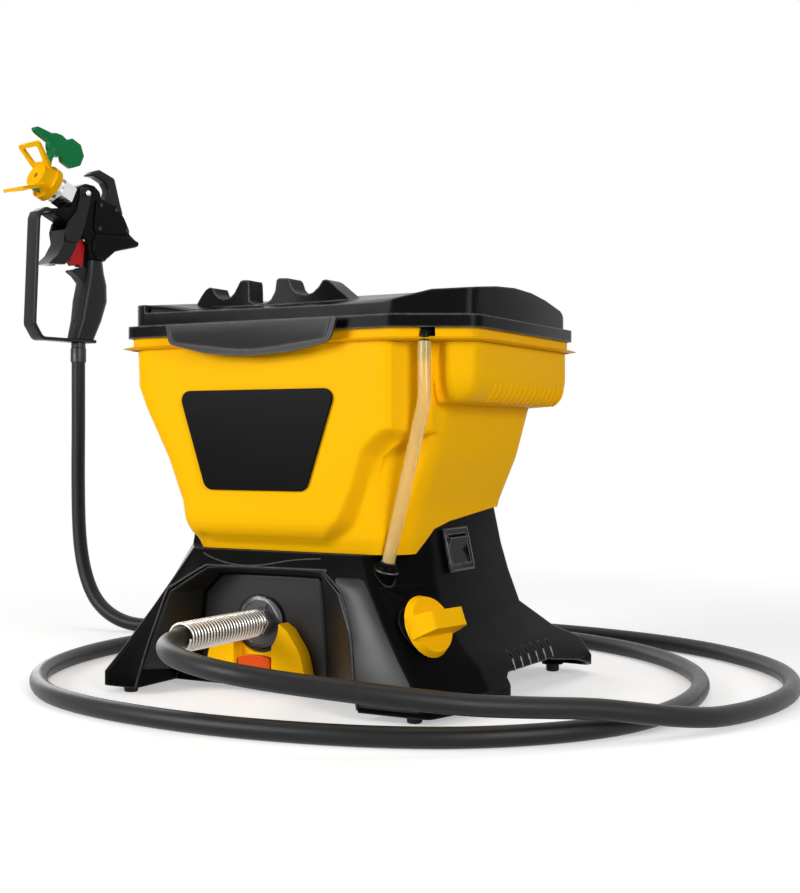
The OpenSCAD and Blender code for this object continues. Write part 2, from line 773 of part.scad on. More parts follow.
block_top = outlet_z + 24;
module pump_block() {
  color("#a7aaae")
    difference() {
      union() {
        translate([outlet_x - 22, -86, outlet_z - 26]) cube([44, 39.7, 50]);
        translate([outlet_x, -66, floor_z + 0.1]) cylinder(r = 15, h = 60);
      }
      translate([inlet_x, inlet_y + 6, outlet_z - 24]) cylinder(r = 6, h = 60);
      along_y([outlet_x, -90, outlet_z]) cylinder(r = 5, h = 20);
    }
}

valve_top = seat_z - 5.2;
module inlet_valve() {
  color("#c6c8cb") {
    translate([inlet_x, inlet_y, block_top + 0.1]) ring(9.5, 5, valve_top - block_top - 3);
    translate([inlet_x, inlet_y, valve_top - 4]) ring(spigot_r - 1, 5, 4);
  }
}

module inlet_seal() {
  color("#151515")
    translate([inlet_x, inlet_y, valve_top + 0.1]) ring(spigot_r - 1.5, inlet_r, 3);
}

module outlet_valve() {
  color("#b4b7ba")
    difference() {
      along_y([outlet_x, panel_y - 0.2, outlet_z]) cylinder(r = 13.5, h = 8.9);
      along_y([outlet_x, panel_y - 1, outlet_z]) cylinder(r = 5, h = 12);
    }
}

flange_t = 5;
flange_y = panel_y - flange_t - 0.5;
module outlet_flange() {
  color("#c3c5c8")
    difference() {
      union() {
        along_y([outlet_x, flange_y + 1, outlet_z]) cylinder(r = flange_d / 2, h = flange_t - 1);
        along_y([outlet_x, flange_y, outlet_z])
          cylinder(r1 = flange_d / 2 - 1.2, r2 = flange_d / 2, h = 1);
      }
      along_y([outlet_x, flange_y - 1, outlet_z]) cylinder(r = 5, h = 12);
      along_y([outlet_x, flange_y - 1, outlet_z]) cylinder(r = flange_d / 2 - 5, h = 1.8);
    }
}

nipple_r = 6;
guard_steps = 8;       // rings of points per curl
nut_r = (guard_d - guard_wire) / 2 * cos(180 / guard_steps) - guard_wire / 2 - gap;
nut_y0 = flange_y - 3;
nut_len = 14;
nut_y1 = nut_y0 - nut_len;                // the hose starts here
module outlet_nipple() {
  color("#cfd1d4")
    difference() {
      union() {
        along_y([outlet_x, flange_y - 2.2, outlet_z]) cylinder(r = 11, h = 2.9, $fn = 6);
        along_y([outlet_x, nut_y1 + 2, outlet_z]) cylinder(r = nipple_r, h = nut_len + 1.7);
      }
      along_y([outlet_x, nut_y1, outlet_z]) cylinder(r = 3, h = 30);
    }
}

module hose_nut() {
  color("#d4d6d8")
    difference() {
      along_y([outlet_x, nut_y1, outlet_z]) cylinder(r = nut_r, h = nut_len - 0.2);
      along_y([outlet_x, nut_y1 + 1.8, outlet_z]) cylinder(r = nipple_r + fit, h = nut_len);
      along_y([outlet_x, nut_y1 - 1, outlet_z]) cylinder(r = 3, h = 10);
    }
}

lock_t = 15;
lock_wall = 4;        // wall behind the pusher
pusher_z = outlet_z - 33;
pusher_r = 4;
module pump_lock() {
  color("#f2b50c")
    difference() {
      translate([outlet_x, panel_y - gap, outlet_z]) rotate([90, 0, 0]) linear_extrude(lock_t)
        difference() {
          polygon(rounded([[-50, -46, 4], [-44, -22, 30], [-34, -4, 8], [-20, 5, 4], [20, 5, 4],
                           [34, -4, 8], [47, -22, 30], [53, -46, 4]], 3));
          circle(r = flange_d / 2 + 3);
        }
      translate([outlet_x - 19, panel_y - gap - lock_t - 1, outlet_z - 60])
        cube([38, lock_t - lock_wall + 1, 60]);
      along_y([outlet_x, panel_y - lock_t, pusher_z]) cylinder(r = pusher_r + fit, h = lock_t);
    }
}

module valve_pusher() {
  color("#cf4a1c") {
    along_y([outlet_x, panel_y - 9, pusher_z]) cylinder(r = pusher_r, h = 12);
    translate([outlet_x, panel_y - 8, outlet_z]) rotate([90, 0, 0]) linear_extrude(5)
      polygon(rounded([[-16, -44, 2], [16, -44, 2], [16, -29, 3], [7, -27, 3], [-7, -27, 3],
                       [-16, -29, 3]], 2));
  }
}

// ---------- the hose and its spring guard ----------

guard_y0 = nut_y0 - 1;
// the helix's centre line at turn u, from the outlet outwards
function guard_point(u) =
  [outlet_x + (guard_d - guard_wire) / 2 * cos(360 * u), guard_y0 - guard_wire - guard_pitch * u,
   outlet_z + (guard_d - guard_wire) / 2 * sin(360 * u)];

guard_axis = concat(
  [guard_point(0) + [0, guard_wire * 0.3, -guard_wire]],
  [for (i = [0:guard_curls * guard_steps]) guard_point(i / guard_steps)],
  [guard_point(guard_curls) + [0, -guard_wire * 0.3, guard_wire]]);

// a ring of m points of radius r about p, square to t, turned from the direction up
function tube_ring(p, t, up, r, m) =
  let (a = unit(cross(t, up)), b = cross(t, a))
  [for (k = [0:m - 1]) p + r * (cos(360 * k / m) * a + sin(360 * k / m) * b)];

function tangent(path, i) =
  unit(path[min(i + 1, len(path) - 1)] - path[max(i - 1, 0)]);

// directions carried along the path without twist
function carried(path, up, i = 0) =
  i >= len(path) ? [] :
  let (t = tangent(path, i), u = unit(up - (up * t) * t))
  concat([u], carried(path, u, i + 1));

module swept(path, r, m, up) {
  ups = carried(path, up);
  skin([for (i = [0:len(path) - 1]) tube_ring(path[i], tangent(path, i), ups[i], r, m)]);
}

guard_gap = min([for (i = [0:guard_steps - 1], j = [guard_steps - 2:guard_steps + 2])
  norm(guard_point(i / guard_steps) - guard_point((i + j) / guard_steps))]) - guard_wire;
echo(least_gap_between_curls = guard_gap);

module spring_guard() {
  color("#c9c6c0") swept(guard_axis, guard_wire / 2, 6, [0, 1, 0]);
}

// the hose's centre line, from the sprayer to the gun
hose_r = hose_d / 2;
lay = hose_r + 0.2;                // centre of the hose where it lies on the floor
from_sprayer = [sprayer_x, sprayer_y, 0];
hose_route = concat(
  [for (p = [
    [outlet_x, nut_y1 - 0.1, outlet_z], [-30, -161, 62], [-30, -202, 62], [-21, -233, 61.5],
    [-1, -258, 60], [31, -276, 57.5], [81, -282, 53], [150, -255, 44], [222, -207, 33],
    [286, -138, 24.7], [345, -57, 10.5], [369, 71, lay], [334, 190, lay], [246, 278, lay],
    [129, 324, lay], [4, 333, lay], [-115, 300, lay], [-214, 226, lay], [-274, 118, lay],
    [-284, -6, lay], [-246, -125, lay], [-158, -212, lay], [-38, -245, lay], [88, -241, lay],
    [206, -200, lay], [288, -108, lay], [306, 14, lay], [274, 134, lay], [196, 230, lay],
    [84, 287, lay], [-32, 297, 9.5], [-122, 280, 19], [-197, 245, 24.6], [-268, 203, 17.5],
    [-334, 165, 8.4], [-386, 150, 11.5], [-426, 148, 36], [-447, 149, 84]]) p + from_sprayer],
  [[gun_x, gun_y, 148], [gun_x, gun_y, gun_z - 98], [gun_x, gun_y, gun_z - 8]]);

// a smooth curve through the route's points, never below the floor
function midway(p, i) =
  let (a = p[max(i - 1, 0)], b = p[i], c = p[i + 1], d = p[min(i + 2, len(p) - 1)],
       m = (9 * (b + c) - a - d) / 16)
  [m.x, m.y, max(m.z, lay)];
hose_line = [for (i = [0:len(hose_route) - 1])
  each (i < len(hose_route) - 1 ? [hose_route[i], midway(hose_route, i)] : [hose_route[i]])];

module hose_tube() {
  color("#1d1d1f") swept(hose_line, hose_r, 10, [0, 0, 1]);
}

module hose_ferrule() {
  color("#8f9296")
    difference() {
      along_y([outlet_x, nut_y1 - 22, outlet_z]) cylinder(r = nut_r, h = 21.8);
      along_y([outlet_x, nut_y1 - 23, outlet_z]) cylinder(r = hose_r + fit, h = 24);
    }
}

module gun_ferrule() {
  color("#2a2a2c")
    translate([gun_x, gun_y, gun_z - 22])
      difference() {
        cylinder(r = hose_r + 1.1, h = 16);
        translate([0, 0, -1]) cylinder(r = hose_r + fit, h = 15.1);
        cylinder(r = 3, h = 20);
      }
}

// ---------- the return tube ----------

tube_r = tube_d / 2;
tube_rise = [tube_x, tube_y, tube_bend_z] - socket_place;
tube_heading = heading(tube_rise);
tube_slope = atan2(tube_rise.z, norm([tube_rise.x, tube_rise.y]));
tube_run = norm(tube_rise);
tube_bend = 90 - tube_slope;
bend_r = 40;
bend_run = bend_r * tan(tube_bend / 2);
tube_top = band_z - 1.9;
elbow_r = 3.7;

module along_tube() {
  aim(socket_place, tube_heading, tube_slope) children();
}

// its centre line: up from the base, one bend, then upright to the rim
bend_mid = [tube_x - bend_r * cos(tube_heading), tube_y - bend_r * sin(tube_heading),
            tube_bend_z + bend_run];
function tube_line(more) = concat(
  [socket_place - (6 + more) * unit(tube_rise)],
  [for (i = [0:4])
    let (a = tube_bend * (i / 4 - 1))
    bend_mid + bend_r * [cos(a) * cos(tube_heading), cos(a) * sin(tube_heading), sin(a)]],
  [[tube_x, tube_y, tube_top + more]]);

module return_tube() {
  color("#d9cfa8")
    difference() {
      swept(tube_line(0), tube_r, 20, [0, 1, 0]);
      swept(tube_line(2), tube_r - tube_wall, 20, [0, 1, 0]);
    }
}

elbow_z = band_z + 5.7;
module return_elbow() {
  color("#1c1c1e")
    difference() {
      union() {
        translate([tube_x, tube_y, tube_top - 14])
          cylinder(r = tube_r - tube_wall - 0.05, h = 14.5);
        translate([tube_x, tube_y, tube_top + 0.1]) cylinder(r = elbow_r, h = elbow_z - 4 - tube_top - 0.1);
        translate([tube_x, tube_y + 4, elbow_z - 4]) rotate([90, 0, -90])
          rotate_extrude(angle = 90) translate([4, 0]) circle(r = elbow_r);
        along_y([tube_x, tube_y + 4, elbow_z]) cylinder(r = elbow_r, h = 18);
      }
      along_y([tube_x, tube_y + 10, elbow_z]) cylinder(r = 2.2, h = 18);
    }
}

module tube_socket() {
  color("#232326")
    difference() {
      union() {
        translate(socket_place) sphere(r = socket_r);
        along_tube() translate([0, 0, -16]) cylinder(r = 7.5, h = 12);
      }
      along_tube() translate([0, 0, -6.2]) cylinder(r = tube_r + fit, h = 30);
      along_tube() translate([0, 0, -20]) cylinder(r = 3, h = 30);
    }
}

// ---------- the controls ----------

module on_knob() {
  aim(knob_place, knob_heading, knob_rise) children();
}

knob_shaft_r = 3;
module pressure_valve() {
  color("#a9acb0")
    on_knob()
      difference() {
        union() {
          translate([0, 0, -38]) cylinder(r = valve_r - gap, h = 38 + knob_seat - 2);
          translate([0, 0, -34]) cylinder(r = valve_r + 4, h = 17.7);
        }
        translate([0, 0, -14]) cylinder(r = knob_shaft_r + fit, h = 40);
      }
}

module control_knob() {
  color("#f6bd10")
    on_knob() {
      translate([0, 0, -12]) cylinder(r = knob_shaft_r, h = 16 + knob_seat);
      translate([0, 0, knob_seat]) cylinder(r1 = knob_d / 2, r2 = knob_d / 2 - 3, h = 6);
      intersection() {
        translate([0, 0, knob_seat + 1]) cylinder(r = knob_d / 2 + 1.5, h = 40);
        rotate([90, 0, 90]) translate([0, 0, -9]) linear_extrude(18)
          polygon(rounded([
            [-knob_d / 2, knob_seat + 2, 1], [knob_d / 2, knob_seat + 2, 1],
            [knob_d / 2 - 1, knob_seat + 10, 4], [knob_d / 2 - 5, knob_seat + knob_bar, 5],
            [-knob_d / 2 + 6, knob_seat + knob_bar, 5], [-knob_d / 2 + 1, knob_seat + 10, 4]], 3));
        rotate([90, 0, 0]) translate([0, 0, -40]) linear_extrude(80)
          polygon([[-9, 0], [9, 0], [9, knob_seat + 4], [7, knob_seat + knob_bar + 1],
                   [-7, knob_seat + knob_bar + 1], [-9, knob_seat + 4]]);
      }
    }
}

module on_switch() {
  aim(switch_place, switch_heading, switch_rise) children();
}

rocker_z = -5;
module switch_bezel() {
  color("#3c3c40")
    on_switch()
      difference() {
        union() {
          translate([-switch_h / 2, -switch_w / 2, 0.6]) cube([switch_h, switch_w, 1.6]);
          translate([-switch_h / 2 + 3.3, -switch_w / 2 + 3.3, -16])
            cube([switch_h - 6.6, switch_w - 6.6, 17]);
        }
        translate([-switch_h / 2 + 5.3, -switch_w / 2 + 5.3, -13.5])
          cube([switch_h - 10.6, switch_w - 10.6, 30]);
        translate([0, -30, rocker_z]) rotate([-90, 0, 0]) cylinder(r = 1.5 + seat_fit, h = 60);
      }
}

rocker_tilt = 9;
module rocker_switch() {
  color("#1a1a1c")
    on_switch() translate([0, 0, rocker_z]) rotate([0, rocker_tilt, 0])
      difference() {
        rotate([90, 0, 0]) translate([0, 0, -switch_w / 2 + 6]) linear_extrude(switch_w - 12)
          polygon([[-11.5, 6.5], [-11, 8], [0, 4.6], [11, 8], [11.5, 6.5], [8, -4.5], [-8, -4.5]]);
        translate([0, -30, 0]) rotate([-90, 0, 0]) cylinder(r = 1.5 + fit, h = 60);
      }
}

module rocker_pin() {
  color("#9a9da1")
    on_switch() translate([0, -switch_w / 2 + 3.6, rocker_z]) rotate([-90, 0, 0])
      cylinder(r = 1.5, h = switch_w - 7.2);
}

module circuit_board() {
  color("#2f6b46") {
    translate([-100, -40, floor_z + 10]) cube([40, 90, 1.6]);
    for (y = [-34, 44], x = [-95, -65]) translate([x, y, floor_z + 0.1]) cylinder(r = 2.5, h = 10);
    for (i = [0:3])
      translate([-92 + 6 * (i % 2), -26 + 18 * i, floor_z + 11.5]) cube([14, 11, 6 + 4 * (i % 3)]);
  }
}

module cord_gland() {
  color("#141415")
    on_gland() {
      translate([0, 0, -9]) cylinder(r = gland_r, h = 14);
      translate([0, 0, gap]) cylinder(r1 = 9.5, r2 = 6, h = 9);
      translate([0, 0, -9]) cylinder(r = 10, h = 4.9);
    }
}

// ---------- the gun ----------

grip_rows = [
  [4.4, -3.5, 14.8, 10], [26, -11.5, 16.8, 12.2], [49, -17, 19, 13.4],
  [68, -19, 16.5, 13.4], [82, -18.5, 13.2, 13], [95, -18, 11.7, 12.8]];

function grip_outline(r) =
  rounded([
    [r[1] - r[2], -r[3], r[3] * 0.8], [r[1] + r[2], -r[3], r[3] * 0.6],
    [r[1] + r[2], r[3], r[3] * 0.6], [r[1] - r[2], r[3], r[3] * 0.8]], 4);

stem_r = 6;
module gun_swivel() {
  color("#c6c8cb")
    translate([gun_x, gun_y, gun_z])
      difference() {
        union() {
          translate([0, 0, -5.7]) cylinder(r = 8.2, h = 5.7);
          translate([0, 0, -1]) cylinder(r = stem_r, h = 25);
        }
        translate([0, 0, -8]) cylinder(r = 3, h = 40);
      }
}

module gun_grip() {
  color("#1c1c1e")
    difference() {
      union() {
        loft([for (r = grip_rows) r[0]], [for (r = grip_rows) grip_outline(r)]);
        // the spur over the middle finger
        translate([0, 6, 0]) rotate([90, 0, 0]) linear_extrude(12)
          polygon([[14, 80.5], [13, 82.5], [4, 85.5], [-12, 86], [-12, 62], [-3, 67], [6, 76]]);
      }
      translate([0, 0, -1]) cylinder(r = stem_r + fit, h = 26);
      translate([-17, 0, 28]) cylinder(r = 5.5, h = 80);
    }
}

module gun_filter() {
  color("#e8e4da")
    translate([-17, 0, 28.1])
      difference() {
        cylinder(r = 5.2, h = 62);
        translate([0, 0, 3]) cylinder(r = 3.2, h = 62);
      }
}

module on_side(x, z, s) {
  translate([x, 0, z]) rotate([-90 * s, 0, 0]) children();
}

module across(x, z, r, h) {
  translate([x, -h / 2, z]) rotate([-90, 0, 0]) cylinder(r = r, h = h);
}

spray_root = [16, 0, 164.5];
module along_spray() {
  aim(spray_root, 0, spray_angle) children();
}

trigger_at = [2, 169];
lock_at = [0, 117];
cover_screws = [[-20, 159], [-42, 156], [-18, 132], [-58, 134]];
barrel_r = 9;

module gun_body() {
  color("#1c1c1e")
    difference() {
      translate([0, gun_w / 2, 0]) rotate([90, 0, 0]) linear_extrude(gun_w)
        polygon([[-7, 95.2], [-4, 112], [3, 121], [14, 128], [25, 134.5], [36, 139], [43, 142.4], [43, 148],
                 [30, 150], [22.5, 149], [10.5, 176], [-2, 182], [-14, 181], [-22, 175], [-24, 168],
                 [-44, 163.5], [-56, 150], [-66, 131], [-78, 123], [-77, 117], [-52, 110.5],
                 [-42, 107.5], [-34, 100], [-29, 95.2]]);
      along_spray() translate([0, 0, -5.5]) cylinder(r = barrel_r + seat_fit, h = 60);
      across(trigger_at.x, trigger_at.y, trigger_pin_r + seat_fit, 80);
      across(lock_at.x, lock_at.y, 1.5 + seat_fit, 80);
      translate([-8, -5.5, 90]) cube([40, 11, 33]);
      for (p = cover_screws) across(p.x, p.y, 1.2 + seat_fit, 80);
      // the flanks are cut back beside the waist
      for (s = [-1, 1])
        translate([-5, s > 0 ? gun_w / 2 - 2.2 : -gun_w / 2 - 10, 90]) cube([60, 12.2, 30]);
    }
}

module gun_cover() {
  color("#222225")
    for (s = [-1, 1])
      difference() {
        translate([0, s > 0 ? gun_w / 2 + 2.6 : -gun_w / 2 - 0.1, 0]) rotate([90, 0, 0]) linear_extrude(2.5)
          polygon(rounded([[-14, 166, 3], [-43, 161.5, 4], [-55, 148, 20], [-65, 129, 3], [-10, 126, 3]], 3));
        for (p = cover_screws) across(p.x, p.y, 1.3, 80);
      }
}

module gun_screws() {
  color("#6e7175")
    for (p = cover_screws, s = [-1, 1])
      on_side(p.x, p.y, s) {
        translate([0, 0, 4]) cylinder(r = 1.2, h = gun_w / 2 + 2.8 - 4);
        translate([0, 0, gun_w / 2 + 2.7]) cylinder(r = 2.4, h = 1);
      }
}

module rear_hook() {
  color("#1c1c1e")
    translate([0, 7, 0]) rotate([90, 0, 0]) linear_extrude(14)
      polygon([[-32, 166.3], [-36, 171], [-39, 180], [-33, 188], [-21, 192.5], [-13, 193], [-12, 194.5],
               [-17, 199], [-26, 202], [-48, 195], [-56, 168], [-61, 153], [-54, 152.6], [-44, 163.7]]);
}

guard_t = 4.2;
module hand_guard() {
  color("#1c1c1e")
    difference() {
      translate([0, strap_w / 2, 0]) rotate([90, 0, 0]) linear_extrude(strap_w)
        polygon([[43.2, 148], [51, 149], [60, 143.5], [63, 136], [68.5, 17], [57, 0.3], [-19, 0.3],
                 [-19, 4.3], [55, 4.3], [64.3, 18.5], [58.8, 135], [57, 140], [50.5, 144.6], [43.2, 143.4]]);
      translate([0, 0, -5]) cylinder(r = stem_r + fit, h = 20);
    }
}

module valve_barrel() {
  color("#b9bcc0")
    along_spray()
      difference() {
        translate([0, 0, -5.4]) cylinder(r = barrel_r, h = 36.4);
        translate([0, 0, -4]) cylinder(r = 4, h = 40);
      }
}

module needle() {
  color("#d9dadc")
    along_spray() {
      translate([0, 0, -3.9]) cylinder(r = 1.6, h = 33);
      translate([0, 0, 6]) cylinder(r = 3.9, h = 5);
    }
}

module head_nut() {
  color("#d4d6d8")
    along_spray()
      difference() {
        union() {
          translate([0, 0, 1.2]) cylinder(r = 17.5, h = 16, $fn = 6);
          translate([0, 0, 17]) cylinder(r = 13, h = 4.9);
        }
        translate([0, 0, 1]) cylinder(r = barrel_r + seat_fit, h = 30);
      }
}

module tip_seal() {
  color("#e9e6dc")
    along_spray() translate([0, 0, 22]) ring(14, barrel_r + seat_fit, 2.8);
}

tip_s = 40;           // the spray tip's place along the spray axis
ear_len = 34;
ears = [[1, 38], [-1, 28]];   // side, angle to the spray axis
module tip_guard() {
  color("#f6bd10")
    along_spray()
      difference() {
        union() {
          translate([0, 0, tip_s - 15]) cylinder(r = 20, h = 8);
          translate([0, 0, tip_s - 7.2]) cylinder(r1 = 17, r2 = 14.5, h = 14.2);
          for (e = ears)
            translate([e[0] * 11, 0, tip_s]) rotate([0, e[0] * e[1], 0]) translate([-1.8, 0, 0])
              rotate([90, 0, 90]) linear_extrude(3.6)
                difference() {
                  polygon(rounded([[-13, -4, 1], [13, -4, 1], [19, ear_len, 4], [-19, ear_len, 4]], 3));
                  polygon(rounded([[-9, 10, 2], [9, 10, 2], [13, ear_len - 5, 2],
                                   [-13, ear_len - 5, 2]], 3));
                }
        }
        translate([0, 0, tip_s - 20]) cylinder(r = barrel_r + fit, h = 11.2);
        translate([0, 0, tip_s - 20]) cylinder(r = 3, h = 60);
        translate([-30, 0, tip_s]) rotate([0, 90, 0]) cylinder(r = tip_d / 2 + fit, h = 60);
      }
}

// seen from the side: x runs against the guard's mouth, y away from the barrel
module tip_outline() {
  translate([17, 48]) rotate(22.5) circle(r = 17, $fn = 8);
  polygon([[18, 40], [31, 34], [42, 31.5], [47, 37], [49, 42], [66, 42.5], [70.5, 44], [71.5, 46.5], [69, 49],
           [60, 51], [50, 53], [45, 56.5], [37, 59], [30, 58], [22, 60]]);
}

module spray_tip() {
  color("#2f9a64")
    along_spray() {
      difference() {
        translate([-22, 0, tip_s]) rotate([0, 90, 0]) cylinder(r = tip_d / 2, h = 37);
        translate([0, 0, tip_s - 20]) cylinder(r = 1.2, h = 40);
      }
      translate([-40, 0, tip_s]) rotate([0, 90, 0]) cylinder(r = 4.6, h = 20);
      translate([0, 3.5, 0]) rotate([0, -90, 0]) rotate([90, 0, 0]) linear_extrude(7) tip_outline();
    }
}

module trigger() {
  color("#232326")
    difference() {
      union() {
        for (s = [-1, 1])
          translate([0, s > 0 ? gun_w / 2 + 2.8 : -gun_w / 2 - 0.3, 0]) rotate([90, 0, 0])
            linear_extrude(2.5) {
            translate(trigger_at) circle(r = 8);
            polygon([[-5.5, 166], [9.5, 166], [14, 148], [26, 134], [29, 124], [27, 113], [11, 113],
                     [3, 134]]);
          }
        for (s = [-1, 1]) on_side(trigger_at.x, trigger_at.y, s)
          translate([0, 0, gun_w / 2 + 0.4]) cylinder(r = 6, h = 3);
        // the bridge, then the channel that the fingers pull
        translate([0, gun_w / 2 + 0.4, 0]) rotate([90, 0, 0]) linear_extrude(gun_w + 0.8)
          polygon([[11, 113], [11, 120], [22, 126], [28, 126], [27.5, 113]]);
        translate([0, 12, 0]) rotate([90, 0, 0]) linear_extrude(24)
          polygon([[11, 119], [22, 126], [28, 126], [30, 110], [38, 96.5], [51, 85], [28, 86.5],
                   [20, 95], [12, 108]]);
      }
      translate([0, 6, 0]) rotate([90, 0, 0]) linear_extrude(12)
        polygon([[0, 124], [20, 121], [26.6, 109], [34.6, 94.5], [45.5, 82], [0, 82]]);
      across(trigger_at.x, trigger_at.y, trigger_pin_r + fit, 80);
    }
}

module trigger_pin() {
  color("#d4d6d8") {
    across(trigger_at.x, trigger_at.y, trigger_pin_r, gun_w + 13.4);
    for (s = [-1, 1]) on_side(trigger_at.x, trigger_at.y, s)
      translate([0, 0, gun_w / 2 + 6.9]) sphere(r = 3.4, $fn = 32);
  }
}

module trigger_lock() {
  color("#c02033")
    difference() {
      translate([0, 5, 0]) rotate([90, 0, 0]) linear_extrude(10) {
        polygon([[-3, 121], [4, 120], [11, 109], [15, 98], [14, 92], [10, 87.5], [5, 90], [0, 87],
                 [-3, 92], [-5, 110]]);
      }
      across(lock_at.x, lock_at.y, 1.5 + fit, 80);
    }
}

module lock_pin() {
  color("#9a9da1") across(lock_at.x, lock_at.y, 1.5, gun_w - 4.6);
}

at_sprayer() base_shell();
at_sprayer() base_pan();
at_sprayer() rubber_feet();
at_sprayer() foot_screws();
at_sprayer() hopper();
at_sprayer() front_plate();
at_sprayer() hopper_strainer();
at_sprayer() inlet_seal();
at_sprayer() lid();
at_sprayer() lid_seal();
at_sprayer() hinge_pins();
at_sprayer() lid_latch();
at_sprayer() latch_pin();
at_sprayer() motor();
at_sprayer() motor_fan();
at_sprayer() gear_housing();
at_sprayer() pump_block();
at_sprayer() inlet_valve();
at_sprayer() outlet_valve();
at_sprayer() outlet_flange();
at_sprayer() outlet_nipple();
at_sprayer() pump_lock();
at_sprayer() valve_pusher();
at_sprayer() hose_nut();
at_sprayer() spring_guard();
hose_tube();
at_sprayer() hose_ferrule();
gun_ferrule();
at_sprayer() return_tube();
at_sprayer() return_elbow();
at_sprayer() tube_socket();
at_sprayer() pressure_valve();
at_sprayer() control_knob();
at_sprayer() switch_bezel();
at_sprayer() rocker_switch();
at_sprayer() rocker_pin();
at_sprayer() circuit_board();
at_sprayer() cord_gland();
gun_swivel();
at_gun() gun_grip();
at_gun() gun_body();
at_gun() gun_cover();
at_gun() gun_screws();
at_gun() rear_hook();
at_gun() hand_guard();
at_gun() gun_filter();
at_gun() valve_barrel();
at_gun() head_nut();
at_gun() needle();
at_gun() trigger();
at_gun() trigger_pin();
at_gun() trigger_lock();
at_gun() lock_pin();
at_gun() tip_guard();
at_gun() tip_seal();
at_gun() spray_tip();
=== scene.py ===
# Airless paint sprayer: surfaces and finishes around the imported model. Metres, +Z up.
import json
import math

import bmesh
import bpy
import numpy as np
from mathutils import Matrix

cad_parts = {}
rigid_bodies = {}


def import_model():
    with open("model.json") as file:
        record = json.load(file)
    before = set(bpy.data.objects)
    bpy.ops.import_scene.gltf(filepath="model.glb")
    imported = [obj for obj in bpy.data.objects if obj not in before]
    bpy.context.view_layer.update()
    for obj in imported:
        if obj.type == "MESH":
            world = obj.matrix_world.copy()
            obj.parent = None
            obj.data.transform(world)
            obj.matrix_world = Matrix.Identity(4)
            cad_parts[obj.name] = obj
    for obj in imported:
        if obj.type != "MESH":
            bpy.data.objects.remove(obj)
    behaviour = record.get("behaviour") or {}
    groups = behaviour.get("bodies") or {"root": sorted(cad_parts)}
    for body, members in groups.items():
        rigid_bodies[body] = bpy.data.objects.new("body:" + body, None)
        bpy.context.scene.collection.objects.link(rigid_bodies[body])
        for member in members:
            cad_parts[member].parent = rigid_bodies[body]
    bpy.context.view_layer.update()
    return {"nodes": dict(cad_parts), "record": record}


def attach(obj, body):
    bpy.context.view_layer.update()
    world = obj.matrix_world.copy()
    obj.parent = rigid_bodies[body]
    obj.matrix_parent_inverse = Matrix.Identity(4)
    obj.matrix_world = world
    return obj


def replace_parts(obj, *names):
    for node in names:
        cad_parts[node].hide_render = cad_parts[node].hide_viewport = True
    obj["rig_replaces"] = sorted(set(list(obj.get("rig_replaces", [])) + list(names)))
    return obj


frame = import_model()
nodes = frame["nodes"]
bodyOf = {n: body for body, names in frame["record"]["behaviour"]["bodies"].items() for n in names}
slotOf = {s["node"]: s["material_slot"] for s in frame["record"]["subparts"]}

layout = {
    "sprayer": (0.153, -0.040, 0.0),      # middle of the base on the floor
    "gun": (-0.300, 0.110, 0.326),        # foot of the gun's grip
    "gunHeading": math.radians(260),
}

view = {
    "camera": (0.635, -1.064, 0.215),     # from the sprayer's middle
    "heading": math.radians(28.8),
    "lens": 55.87, "sensor": 36, "nearest": 0.01,
    "shiftY": -0.0073,
}


def addCamera():
    data = bpy.data.cameras.new("camera")
    data.sensor_width = view["sensor"]
    data.lens = view["lens"]
    data.shift_y = view["shiftY"]
    data.clip_start = view["nearest"]
    camera = bpy.data.objects.new("camera", data)
    camera.location = np.add(view["camera"], layout["sprayer"])
    camera.rotation_euler = (math.pi / 2, 0, view["heading"])
    bpy.context.scene.collection.objects.link(camera)
    bpy.context.scene.camera = camera


# A socket is linked, and anything else becomes the socket's own value.
def feed(tree, socket, value):
    if isinstance(value, bpy.types.NodeSocket):
        tree.links.new(value, socket)
    else:
        socket.default_value = value


# A shader node with plain settings; the other values go to its sockets by name.
def addNode(tree, kind, settings=None, **values):
    node = tree.nodes.new(kind)
    for name, value in (settings or {}).items():
        setattr(node, name, value)
    for name, value in values.items():
        feed(tree, node.inputs[name.replace("_", " ")], value)
    return node


# A shader node with plain settings, whose sockets take the values in order.
def fillNode(tree, kind, *values, **settings):
    node = addNode(tree, kind, settings)
    for socket, value in zip(node.inputs, values):
        feed(tree, socket, value)
    return node


def mathNode(tree, operation, *values, clamp=False):
    return fillNode(tree, "ShaderNodeMath", *values, operation=operation, use_clamp=clamp).outputs[0]


def mixColours(tree, factor, first, second):
    node = addNode(tree, "ShaderNodeMix", {"data_type": "RGBA"})
    for place, value in ((0, factor), (6, first), (7, second)):      # where colours go in
        feed(tree, node.inputs[place], value)
    return node.outputs[2]


def rgba(colour):
    return (*colour, 1.0)


def newMaterial(name):
    material = bpy.data.materials.new(name)
    material.use_nodes = True
    material.node_tree.nodes.clear()
    return material, material.node_tree


def finishMaterial(tree, shader):
    addNode(tree, "ShaderNodeOutputMaterial", Surface=shader.outputs[0])


def objectCoords(tree):
    return addNode(tree, "ShaderNodeTexCoord").outputs["Object"]


# 1 for what the eye sees, straight, in a gloss or through a clear piece, and 0 for light that falls.
def seenRays(tree):
    path = addNode(tree, "ShaderNodeLightPath").outputs
    seen = mathNode(tree, "MAXIMUM", path["Is Camera Ray"], path["Is Glossy Ray"])
    return mathNode(tree, "MAXIMUM", seen, path["Is Transmission Ray"])


